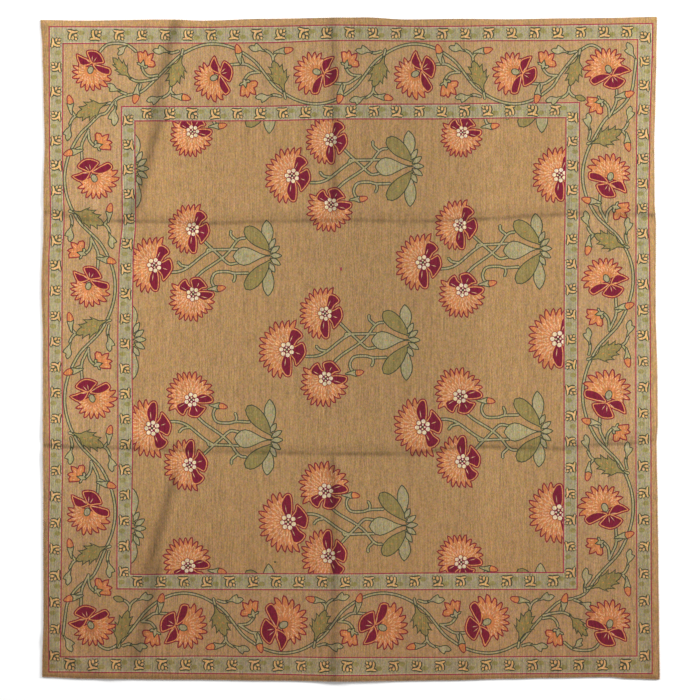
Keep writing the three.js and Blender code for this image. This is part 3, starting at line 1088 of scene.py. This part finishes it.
under_grid_x, under_grid_y = (g.ravel() for g in np.meshgrid(columns[2:-2:3], rows[2:-2:3]))
under_grid = np.stack(lay(under_grid_x, under_grid_y), 1)
under, under_triangles, under_went, _ = cut(
    np.concatenate([rim_inwards, under_grid]), closed_edges(0, rim_count)
)
under_triangles = under_triangles[inside_outline(under[under_triangles].mean(axis=1), rim_inwards)]
under_z = lift(*flat_of(under))
rim_z = lift(*flat_of(rim))

vertices = np.concatenate([
    np.column_stack([top, top_z]),
    np.column_stack([rim, rim_z + THICKNESS / 2]),
    np.column_stack([under, under_z]),
])
side_first = len(top)
under_first = side_first + rim_count
now = np.arange(rim_count)
after = np.roll(now, -1)
top_ring, side_ring = rim_ids, side_first + now
under_ring = under_first + under_went[:rim_count]
wall_faces = []
for upper, lower in ((top_ring, side_ring), (side_ring, under_ring)):
    wall_faces.append(np.stack([upper[now], lower[now], lower[after]], 1))
    wall_faces.append(np.stack([upper[now], lower[after], upper[after]], 1))
wall_faces = np.concatenate(wall_faces)
faces = np.concatenate([triangles, wall_faces, under_first + under_triangles[:, ::-1]])

# The cloth sits where the rug's own box says, which a straight count from the photo misses by a little.
low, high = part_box("rug")
middle = (np.array(low) + np.array(high)) / 2 / MM
reach_low, reach_high = vertices.min(axis=0), vertices.max(axis=0)
shift = np.array([*(middle[:2] - (reach_low[:2] + reach_high[:2]) / 2), 0])

cloth = bpy.data.meshes.new("rug_cloth")
cloth.vertices.add(len(vertices))
cloth.vertices.foreach_set("co", ((vertices + shift) * MM).ravel())
cloth.loops.add(len(faces) * 3)
cloth.loops.foreach_set("vertex_index", faces.ravel())
cloth.polygons.add(len(faces))
cloth.polygons.foreach_set("loop_start", np.arange(0, len(faces) * 3, 3))
cloth.polygons.foreach_set("use_smooth", np.ones(len(faces), bool))
cloth.update(calc_edges=True)
cloth.validate()


def linear(code):
    """A dye's hex code as a linear colour."""
    parts = [int(code[i : i + 2], 16) / 255 for i in (0, 2, 4)]
    return [((p + 0.055) / 1.055) ** 2.4 if p > 0.04045 else p / 12.92 for p in parts] + [1.0]


dye_colours = np.array([linear(code) for code in DYES.values()])
face_dye = np.concatenate([dye_of_area[area_of], np.zeros(len(faces) - len(triangles), int)])
dyed = cloth.color_attributes.new("dye", "FLOAT_COLOR", "CORNER")
dyed.data.foreach_set("color", np.repeat(dye_colours[face_dye], 3, axis=0).ravel())

# Each fan of petals carries a small map for its veins, with the pistil at its middle and the petals'
# tips about 1 from it. The material works out from it which petal a place is on, and how far out.
OFF_THE_FANS = -5.0
fan_map = np.full((len(faces) * 3, 2), OFF_THE_FANS)
corner_places = vertices[faces.ravel()][:, :2]
fan_pitch = np.zeros(len(faces) * 3)
for number, (outline, dye, inside, veins) in enumerate(woven):
    if veins is None:
        continue
    corners = (np.flatnonzero(area_of == number)[:, None] * 3 + (0, 1, 2)).ravel()
    c, s = math.cos(math.radians(veins["turn"])), math.sin(math.radians(veins["turn"]))
    local = (corner_places[corners] - (veins["x"], veins["y"])) @ np.array([[c, -s], [s, c]])
    fan_map[corners] = local / veins["reach"]
    fan_pitch[corners] = veins["pitch"]
cloth.uv_layers.new(name="petals")
cloth.uv_layers["petals"].data.foreach_set("uv", fan_map.ravel())
pitch_layer = cloth.attributes.new("petal_pitch", "FLOAT", "CORNER")
pitch_layer.data.foreach_set("value", fan_pitch)
whole = (corner_places - reach_low[:2]) / (reach_high[:2] - reach_low[:2])
cloth.uv_layers.new(name="OFBake")
cloth.uv_layers["OFBake"].data.foreach_set("uv", whole.ravel())

# How far each place is from the two folds across the rug and from its slanting creases, where the material
# paints shade into the yarn's colour, mostly on their left flanks, the side away from the main lamp.
SHADED_SIDE = 26
PAST_CREASE = 60
NO_CREASE = 200.0
SHADED_CREASES = (
    (RIDGES[3], 0),
    (TROUGHS[0], 0),
    (RIDGES[4], 4),
    (TROUGHS[1], 6),
    (RIDGES[0], 10),
    (RIDGES[1], 10),
)
flat_x, flat_y = flat_of(vertices[:, :2])
from_slants = np.full(len(vertices), NO_CREASE)
for crease, spare in SHADED_CREASES:
    distance, share = from_crease(flat_x, flat_y, crease)
    past_end = PAST_CREASE * (1 - share)
    from_slants = np.minimum(from_slants, np.abs(distance + SHADED_SIDE) + spare + past_end)
from_folds = np.column_stack([
    flat_y - eased(UPPER_FOLD, "y", flat_x),
    flat_y - eased(LOWER_FOLD, "y", flat_x),
    from_slants,
])
fold_layer = cloth.attributes.new("from_folds", "FLOAT_VECTOR", "POINT")
fold_layer.data.foreach_set("vector", (from_folds * MM).ravel())

rug = bpy.data.objects.new("rug_cloth", cloth)
bpy.context.scene.collection.objects.link(rug)


class Nodes:
    """Adds nodes to one tree, with their settings, and feeds them with sockets or plain values."""

    def __init__(self, tree):
        self.tree = tree

    def feed(self, made, feeds):
        """Feeds a node's inputs, each given by its name or number."""
        for label, value in feeds.items():
            if isinstance(value, bpy.types.NodeSocket):
                self.tree.links.new(value, made.inputs[label])
            else:
                made.inputs[label].default_value = value

    def add(self, kind, feeds=None, **settings):
        """Adds a node, sets its own settings, and feeds it."""
        made = self.tree.nodes.new(kind)
        for name, value in settings.items():
            setattr(made, name, value)
        self.feed(made, feeds or {})
        return made

    def maths(self, operation, *values):
        """The result of a sum on values."""
        return self.add("ShaderNodeMath", dict(enumerate(values)), operation=operation).outputs[0]

    def vector(self, operation, *values):
        """The result of a sum on vectors or colours."""
        return self.add("ShaderNodeVectorMath", dict(enumerate(values)), operation=operation).outputs[0]

    def scaled(self, colour, gain, label=""):
        """A colour made lighter or darker."""
        feeds = {0: colour, "Scale": gain}
        return self.add("ShaderNodeVectorMath", feeds, operation="SCALE", label=label).outputs[0]

    def mixed(self, share, first, second, label=""):
        """Two colours mixed by a share."""
        feeds = {"Factor": share, "A": first, "B": second}
        return self.add("ShaderNodeMix", feeds, data_type="RGBA", label=label).outputs["Result"]

    def ramp(self, value, low, high, to_low, to_high):
        """Maps a value from one range to another, held at its ends."""
        feeds = {"Value": value, "From Min": low, "From Max": high, "To Min": to_low, "To Max": to_high}
        return self.add("ShaderNodeMapRange", feeds, clamp=True).outputs[0]

    def noise(self, place, scale, detail=2.0, roughness=0.5):
        """A smooth noise over places stretched by a scale: its value and its colour."""
        stretched = self.vector("MULTIPLY", place, scale)
        feeds = {"Vector": stretched, "Scale": 1.0, "Detail": detail, "Roughness": roughness}
        return self.add("ShaderNodeTexNoise", feeds).outputs

    def parts(self, vector):
        """A vector's X, Y and Z."""
        return self.add("ShaderNodeSeparateXYZ", {0: vector}).outputs


def group(name, inputs, outputs, kind="ShaderNodeTree"):
    """A node group with its named sockets: its nodes, what comes in, and its output node."""
    nodes = Nodes(bpy.data.node_groups.new(name, kind))
    plain_kinds = {float: "NodeSocketFloat", int: "NodeSocketInt"}
    for label, value in inputs.items():
        socket_kind = plain_kinds.get(type(value), value)
        socket = nodes.tree.interface.new_socket(label, in_out="INPUT", socket_type=socket_kind)
        if type(value) in plain_kinds:
            socket.default_value = value
    for label, socket_kind in outputs.items():
        nodes.tree.interface.new_socket(label, in_out="OUTPUT", socket_type=socket_kind)
    return nodes, nodes.add("NodeGroupInput").outputs, nodes.add("NodeGroupOutput")


# Wrapped yarn: each wrap of the soumak is a short slanting lump, 4.5 mm wide and 5 mm along the row.
# It gives a shade and a tint for each wrap, and the height of the lumps.
wraps, wraps_in, wraps_out = group(
    "wrapped_yarn",
    {"Place": "NodeSocketVector", "Row Width": 0.0045, "Wrap Length": 0.005},
    {"Shade": "NodeSocketFloat", "Tint": "NodeSocketColor", "Height": "NodeSocketFloat"},
)
place = wraps.parts(wraps_in["Place"])
row = wraps.maths("DIVIDE", place["X"], wraps_in["Row Width"])
row_number = wraps.maths("FLOOR", row)
row_share = wraps.maths("SUBTRACT", row, row_number)
parity = wraps.maths("MODULO", wraps.maths("ABSOLUTE", row_number), 2.0)
slant = wraps.maths("MULTIPLY_ADD", parity, 1.6, -0.8)
leaned = wraps.maths("MULTIPLY", wraps.maths("SUBTRACT", row_share, 0.5), slant)
wrap = wraps.maths("ADD", wraps.maths("DIVIDE", place["Y"], wraps_in["Wrap Length"]), leaned)
wrap = wraps.maths("ADD", wrap, wraps.maths("MULTIPLY", row_number, 0.37))
wrap_number = wraps.maths("FLOOR", wrap)
wrap_share = wraps.maths("SUBTRACT", wrap, wrap_number)
cell = wraps.add("ShaderNodeCombineXYZ", {"X": row_number, "Y": wrap_number}).outputs[0]
chance = wraps.add("ShaderNodeTexWhiteNoise", {"Vector": cell}, noise_dimensions="2D").outputs
across_lump = wraps.maths("SINE", wraps.maths("MULTIPLY", row_share, math.pi))
along_lump = wraps.maths("SINE", wraps.maths("MULTIPLY", wrap_share, math.pi))
lump = wraps.maths("MULTIPLY", wraps.maths("POWER", across_lump, 0.6), wraps.maths("POWER", along_lump, 0.4))
wraps.feed(wraps_out, {"Shade": chance["Value"], "Tint": chance["Color"], "Height": lump})

# Heathered dye: hand-spun wool takes the dye unevenly, in long streaks along the rows, and each lot of
# yarn differs a little from the next, which shows as broad bands across the rug. The group also paints
# light and shade into the colour: lighter towards the sides, darker in the middle and towards the foot.
heather, heather_in, heather_out = group(
    "heathered_dye_and_painted_light",
    {"Dye": "NodeSocketColor", "Place": "NodeSocketVector", "Shade": 0.5, "Tint": "NodeSocketColor"},
    {"Color": "NodeSocketColor"},
)
place = heather_in["Place"]
streak = heather.noise(place, (230, 13, 1), 3.0, 0.65)["Fac"]
long_streak = heather.noise(place, (150, 2.6, 1), 3.0, 0.6)["Fac"]
lots = heather.noise(place, (9, 0.12, 1), 3.0, 0.55)["Fac"]
fleck = heather.noise(place, (460, 120, 1), 1.0, 0.5)["Color"]
spot = heather.parts(place)
light_lot = heather.maths("MULTIPLY", heather.ramp(spot["X"], 0.54, 0.585, 0, 1),
                          heather.ramp(spot["X"], 0.76, 0.80, 1, 0))
value = heather.maths("MULTIPLY", heather.maths("SUBTRACT", heather_in["Shade"], 0.5), 0.30)
for source, strength in ((streak, 1.25), (long_streak, 0.70)):
    value = heather.maths("MULTIPLY_ADD", heather.maths("SUBTRACT", source, 0.5), strength, value)
lot_value = heather.maths("MULTIPLY", heather.maths("SUBTRACT", lots, 0.5), 0.22)
lot_value = heather.maths("MULTIPLY_ADD", light_lot, 0.06, lot_value)
gain = heather.maths("ADD", heather.maths("ADD", lot_value, value), 1.0)

# Painted light and shade: the colour is lighter towards the two sides and darker in the middle, and darker,
# browner and more even towards the foot, standing in for the lamps' light falling off.
aside = heather.maths("SUBTRACT", spot["X"], 0.18)
aside = heather.maths("SQRT", heather.maths("ADD", heather.maths("MULTIPLY", aside, aside), 0.02))
painted_side_light = heather.maths("MULTIPLY_ADD", aside, 0.26, -0.14)
painted_side_light = heather.maths("MULTIPLY", painted_side_light, heather.ramp(spot["Y"], -0.95, -0.3, 0, 1))
gain = heather.maths("MULTIPLY", gain, heather.maths("ADD", painted_side_light, 0.91))
foot_shade_share = heather.ramp(spot["Y"], -1.38, -0.55, 1, 0)
foot_shade_tint = heather.mixed(foot_shade_share, (1, 1, 1, 1), (0.88, 0.80, 0.77, 1), "painted shade towards the foot")
flecked = heather.mixed(0.35, fleck, heather_in["Tint"])
flecked = heather.vector("SUBTRACT", flecked, (0.5, 0.5, 0.5))
tinted = heather.vector("MULTIPLY_ADD", flecked, (0.45, 0.62, 1.70), (1, 1, 1))
coloured = heather.vector("MULTIPLY", heather.scaled(heather_in["Dye"], gain), tinted)
heather.feed(heather_out, {"Color": heather.vector("MULTIPLY", coloured, foot_shade_tint)})


def wool(name):
    """A matt wool material with its weave, colour and bump: itself, its nodes and its dye's node."""
    made = bpy.data.materials.new(name)
    made.use_nodes = True
    nodes = Nodes(made.node_tree)
    where = nodes.add("ShaderNodeTexCoord").outputs["Object"]
    weave_node = nodes.add("ShaderNodeGroup", {"Place": where}, node_tree=wraps.tree, label="wrapped yarn")
    woven_yarn = weave_node.outputs
    feeds = {"Place": where, "Shade": woven_yarn["Shade"], "Tint": woven_yarn["Tint"]}
    dye_node = nodes.add("ShaderNodeGroup", feeds, node_tree=heather.tree, label="heathered dye and painted light")
    feeds = {"Strength": 0.5, "Distance": 0.0012, "Height": woven_yarn["Height"]}
    bump = nodes.add("ShaderNodeBump", feeds, label="wraps of yarn")
    nodes.feed(made.node_tree.nodes["Principled BSDF"], {
        "Base Color": dye_node.outputs["Color"],
        "Normal": bump.outputs[0],
        "Roughness": 0.92,
        "Specular IOR Level": 0.18,
        "Sheen Weight": 0.05,
        "Sheen Roughness": 0.6,
    })
    return made, nodes, dye_node


rug_wool, yarn, rug_dye = wool("soumak_wool")
plain_dye = yarn.add("ShaderNodeVertexColor", layer_name="dye", label="yarn colour").outputs["Color"]
petal_place = yarn.add("ShaderNodeUVMap", uv_map="petals", label="petals").outputs[0]
petal_pitch = yarn.add("ShaderNodeAttribute", attribute_name="petal_pitch", label="petal pitch")
petal_parts = yarn.parts(petal_place)
angle = yarn.maths("ARCTAN2", petal_parts["Y"], petal_parts["X"])
reach = yarn.add("ShaderNodeVectorMath", {0: petal_place}, operation="LENGTH").outputs["Value"]
pitch = yarn.maths("MAXIMUM", yarn.maths("RADIANS", petal_pitch.outputs["Fac"]), 0.1)
petal_number = yarn.maths("DIVIDE", angle, pitch)


def scales(near, far, turned, half=0.016):
    """A ring of small pointed petals drawn in pale line, from near to far."""
    share = yarn.maths("SUBTRACT", yarn.maths("FRACT", yarn.maths("ADD", petal_number, turned)), 0.5)
    out = yarn.ramp(reach, near, far, 0, 1)
    width = yarn.maths("SUBTRACT", 0.5, yarn.maths("MULTIPLY", yarn.maths("POWER", out, 1.5), 0.5))
    aside = yarn.maths("ABSOLUTE", yarn.maths("SUBTRACT", yarn.maths("ABSOLUTE", share), width))
    aside = yarn.maths("MULTIPLY", yarn.maths("MULTIPLY", aside, pitch), reach)
    narrow = yarn.ramp(aside, half * 0.6, half * 1.4, 1, 0)
    begins = yarn.ramp(reach, near - 0.01, near + 0.01, 0, 1)
    ends_at = yarn.ramp(reach, far - 0.01, far + 0.01, 1, 0)
    return yarn.maths("MULTIPLY", narrow, yarn.maths("MULTIPLY", begins, ends_at))


all_scales = yarn.maths("MAXIMUM", scales(0.52, 0.80, 0.5), scales(0.30, 0.56, 0.0))
where = yarn.add("ShaderNodeTexCoord").outputs["Object"]
broken = yarn.ramp(yarn.noise(where, (110, 110, 1))["Fac"], 0.40, 0.52, 0.15, 1)
vein_share = yarn.maths("MULTIPLY", all_scales, broken)
veined = yarn.mixed(vein_share, plain_dye, linear(DYES["peach"]), "veins of the petals")

# Painted shade in the folds: a narrow dark line, broken along its length, on a wide faint one, and a band
# beside the slanting creases.
fold_places = yarn.add("ShaderNodeAttribute", attribute_name="from_folds", label="from folds")
fold_parts = yarn.parts(fold_places.outputs["Vector"])
from_upper = yarn.maths("ABSOLUTE", fold_parts["X"])
from_lower = yarn.maths("ABSOLUTE", fold_parts["Y"])
nearest = yarn.maths("MINIMUM", from_upper, from_lower)
patchy = yarn.ramp(yarn.noise(where, (9, 1, 1))["Fac"], 0.35, 0.62, 0.35, 1)
crease_shade = yarn.maths("MULTIPLY", yarn.ramp(nearest, 0.003, 0.014, 0.32, 0), patchy)
crease_shade = yarn.maths("ADD", crease_shade, yarn.ramp(nearest, 0.0, 0.05, 0.11, 0))
crease_shade = yarn.maths("MAXIMUM", crease_shade, yarn.ramp(fold_parts["Z"], 0.003, 0.040, 0.46, 0))
crease_shaded = yarn.scaled(veined, yarn.maths("SUBTRACT", 1.0, crease_shade), "painted shade in the folds")
yarn.feed(rug_dye, {"Dye": crease_shaded})
cloth.materials.append(rug_wool)

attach(rug, "root")
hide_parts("rug")

# The edges: along the head and foot the wrapping yarn turns back over the last warps, a short bight of
# yarn to each row. Along the two sides the warps' ends are turned in, which leaves a row of low bumps.
edge, edge_in, edge_out = group(
    "bights_along_edge",
    {"Edge": "NodeSocketGeometry", "Pitch": 0.0045, "Bight Radius": 0.0024, "Yarn Radius": 0.0017,
     "Stretch": 1.0, "Seed": 1, "Yarn": "NodeSocketMaterial"},
    {"Bights": "NodeSocketGeometry"},
    "GeometryNodeTree",
)
edge_sockets = [item for item in edge.tree.interface.items_tree if item.in_out == "INPUT"]
edge_names = {socket.name: socket.identifier for socket in edge_sockets}
path = edge.add("GeometryNodeMeshToCurve", {0: edge_in["Edge"]}, label="edge of the cloth").outputs[0]
spots = edge.add("GeometryNodeCurveToPoints", {"Curve": path, "Length": edge_in["Pitch"]},
                 mode="LENGTH", label="one spot to a row").outputs
facing = edge.add("FunctionNodeAlignRotationToVector", {"Vector": spots["Tangent"]},
                  axis="Z", label="along the edge").outputs[0]
upright = edge.add("FunctionNodeAlignRotationToVector", {"Rotation": facing, "Vector": (0, 0, 1)},
                   axis="Y", pivot_axis="Z", label="upright").outputs[0]
arc_feeds = {
    "Resolution": 5,
    "Radius": edge_in["Bight Radius"],
    "Start Angle": math.radians(-20),
    "Sweep Angle": math.radians(140),
}
bight = edge.add("GeometryNodeCurveArc", arc_feeds, mode="RADIUS", label="bight").outputs["Curve"]
section = edge.add("GeometryNodeCurvePrimitiveCircle", {"Resolution": 6, "Radius": edge_in["Yarn Radius"]},
                   mode="RADIUS", label="yarn").outputs["Curve"]
bight_feeds = {"Curve": bight, "Profile Curve": section, "Fill Caps": True}
yarn_bight = edge.add("GeometryNodeCurveToMesh", bight_feeds).outputs[0]
rounded = edge.add("GeometryNodeSetShadeSmooth", {0: yarn_bight}).outputs[0]
uneven_feeds = {"Min": (0.82, 0.94, 0.80), "Max": (1.14, 1.04, 1.15), "Seed": edge_in["Seed"]}
uneven = edge.add("FunctionNodeRandomValue", uneven_feeds, data_type="FLOAT_VECTOR", label="uneven by hand")
stretch = edge.add("ShaderNodeCombineXYZ", {"X": 1, "Y": 1, "Z": edge_in["Stretch"]}).outputs[0]
bight_size = edge.vector("MULTIPLY", uneven.outputs["Value"], stretch)
bights = edge.add("GeometryNodeInstanceOnPoints", {
    "Points": spots["Points"],
    "Instance": rounded,
    "Rotation": upright,
    "Scale": bight_size,
}).outputs[0]
made_real = edge.add("GeometryNodeRealizeInstances", {0: bights}).outputs[0]
in_yarn = edge.add("GeometryNodeSetMaterial", {"Geometry": made_real, "Material": edge_in["Yarn"]})
edge.feed(edge_out, {0: in_yarn.outputs[0]})

edge_wool, edge_yarn, edge_dye = wool("edge_wool")
edge_yarn.feed(edge_dye, {"Dye": linear(DYES["straw"])})
BIGHT_INSET = 2.6
CORNER_SPARE = 6
EDGE_ROWS = {
    "selvedges": {
        "sides": ("head", "foot"),
        "yarn": {"Pitch": 4.5, "Bight Radius": 2.4, "Yarn Radius": 1.7},
        "stretch": 1.0,
        "seed": 3,
    },
    "turned_ends": {
        "sides": ("left", "right"),
        "yarn": {"Pitch": 9.5, "Bight Radius": 2.6, "Yarn Radius": 1.9},
        "stretch": 1.9,
        "seed": 5,
    },
}


def edge_line(side):
    """One edge of the laid rug, walked clockwise and a little way in from its rim."""
    x = np.linspace(-WIDTH / 2 + CORNER_SPARE, WIDTH / 2 - CORNER_SPARE, int(WIDTH / RIM_STEP))
    y = np.linspace(-LENGTH / 2 + CORNER_SPARE, LENGTH / 2 - CORNER_SPARE, int(LENGTH / RIM_STEP))
    flat = {
        "head": (x, np.full(len(x), LENGTH / 2 - BIGHT_INSET)),
        "right": (np.full(len(y), WIDTH / 2 - BIGHT_INSET), y[::-1]),
        "foot": (x[::-1], np.full(len(x), -LENGTH / 2 + BIGHT_INSET)),
        "left": (np.full(len(y), -WIDTH / 2 + BIGHT_INSET), y),
    }[side]
    return np.column_stack([*lay(*flat), lift(*flat) + THICKNESS / 2])


for name, row in EDGE_ROWS.items():
    walked = [edge_line(side) for side in row["sides"]]
    count = len(walked[0])
    steps = [(first + i, first + i + 1) for first in (0, count) for i in range(count - 1)]
    line_mesh = bpy.data.meshes.new(name + "_line")
    line_mesh.from_pydata(((np.concatenate(walked) + shift) * MM).tolist(), steps, [])
    line_object = bpy.data.objects.new(name + "_line", line_mesh)
    bpy.context.scene.collection.objects.link(line_object)
    maker = line_object.modifiers.new("bights", "NODES")
    maker.node_group = edge.tree
    for label, size in row["yarn"].items():
        maker[edge_names[label]] = size * MM
    maker[edge_names["Stretch"]] = row["stretch"]
    maker[edge_names["Seed"]] = row["seed"]
    maker[edge_names["Yarn"]] = edge_wool
    bpy.context.view_layer.update()
    seen = line_object.evaluated_get(bpy.context.evaluated_depsgraph_get())
    plain = bpy.data.meshes.new_from_object(seen)
    plain.name = name
    piece = bpy.data.objects.new(name, plain)
    bpy.context.scene.collection.objects.link(piece)
    line_object.modifiers.remove(maker)
    bpy.data.objects.remove(line_object)
    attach(piece, "root")

# The studio: a plain pale floor, one main lamp beyond the rug's head and right side, a weak one at its
# left, and a camera straight above the rug, as the photo was taken.
FLOOR = 40
FLOOR_DROP = 0.0006
LAMPS = (
    {"name": "lamp_right", "at": (10.2, 5.0, 5.8), "size": 3.2, "power": 1900},
    {"name": "lamp_left", "at": (-5.2, 6.0, 5.0), "size": 2.6, "power": 480},
)
floor_mesh = bpy.data.meshes.new("floor")
floor_corners = [(x * FLOOR, y * FLOOR, 0) for x, y in ((-1, -1), (1, -1), (1, 1), (-1, 1))]
floor_mesh.from_pydata(floor_corners, [], [(0, 1, 2, 3)])
floor = bpy.data.objects.new("floor", floor_mesh)
bpy.context.scene.collection.objects.link(floor)
floor.location.z = -FLOOR_DROP
floor_paint = bpy.data.materials.new("floor_paint")
floor_paint.use_nodes = True
floor_shader = floor_paint.node_tree.nodes["Principled BSDF"]
Nodes(floor_paint.node_tree).feed(floor_shader, {"Base Color": (0.93, 0.93, 0.93, 1), "Roughness": 0.9})
floor_mesh.materials.append(floor_paint)

for lamp in LAMPS:
    light = bpy.data.lights.new(lamp["name"], "AREA")
    light.size = lamp["size"]
    light.energy = lamp["power"]
    holder = bpy.data.objects.new(lamp["name"], light)
    bpy.context.scene.collection.objects.link(holder)
    holder.location = lamp["at"]
    aim = Vector((0, 0, 0)) - holder.location
    holder.rotation_euler = aim.to_track_quat("-Z", "Y").to_euler()
world = bpy.data.worlds.new("soft_room")
world.use_nodes = True
room_light = world.node_tree.nodes["Background"]
Nodes(world.node_tree).feed(room_light, {"Color": (1, 1, 1, 1), "Strength": 0.48})
bpy.context.scene.world = world
bpy.context.scene.view_settings.view_transform = "Standard"

# The photo's scale: one pixel is 4.47 mm of cloth, and the rug's middle lies just beside the picture's.
PIXEL = 4.47
PICTURE = 700
MIDDLE_PIXEL = {"x": 349.8, "y": 349.1}
CAMERA_HEIGHT = 12.0
CLOTH_TOP = 0.006
SENSOR = 36
camera = bpy.data.cameras.new("camera")
camera.sensor_width = SENSOR
camera.lens = SENSOR * (CAMERA_HEIGHT - CLOTH_TOP) / (PICTURE * PIXEL * MM)
camera.clip_end = 100
viewer = bpy.data.objects.new("camera", camera)
bpy.context.scene.collection.objects.link(viewer)
viewer.location = (
    (PICTURE / 2 - MIDDLE_PIXEL["x"]) * PIXEL * MM + shift[0] * MM,
    (MIDDLE_PIXEL["y"] - PICTURE / 2) * PIXEL * MM + shift[1] * MM,
    CAMERA_HEIGHT,
)
bpy.context.scene.camera = viewer
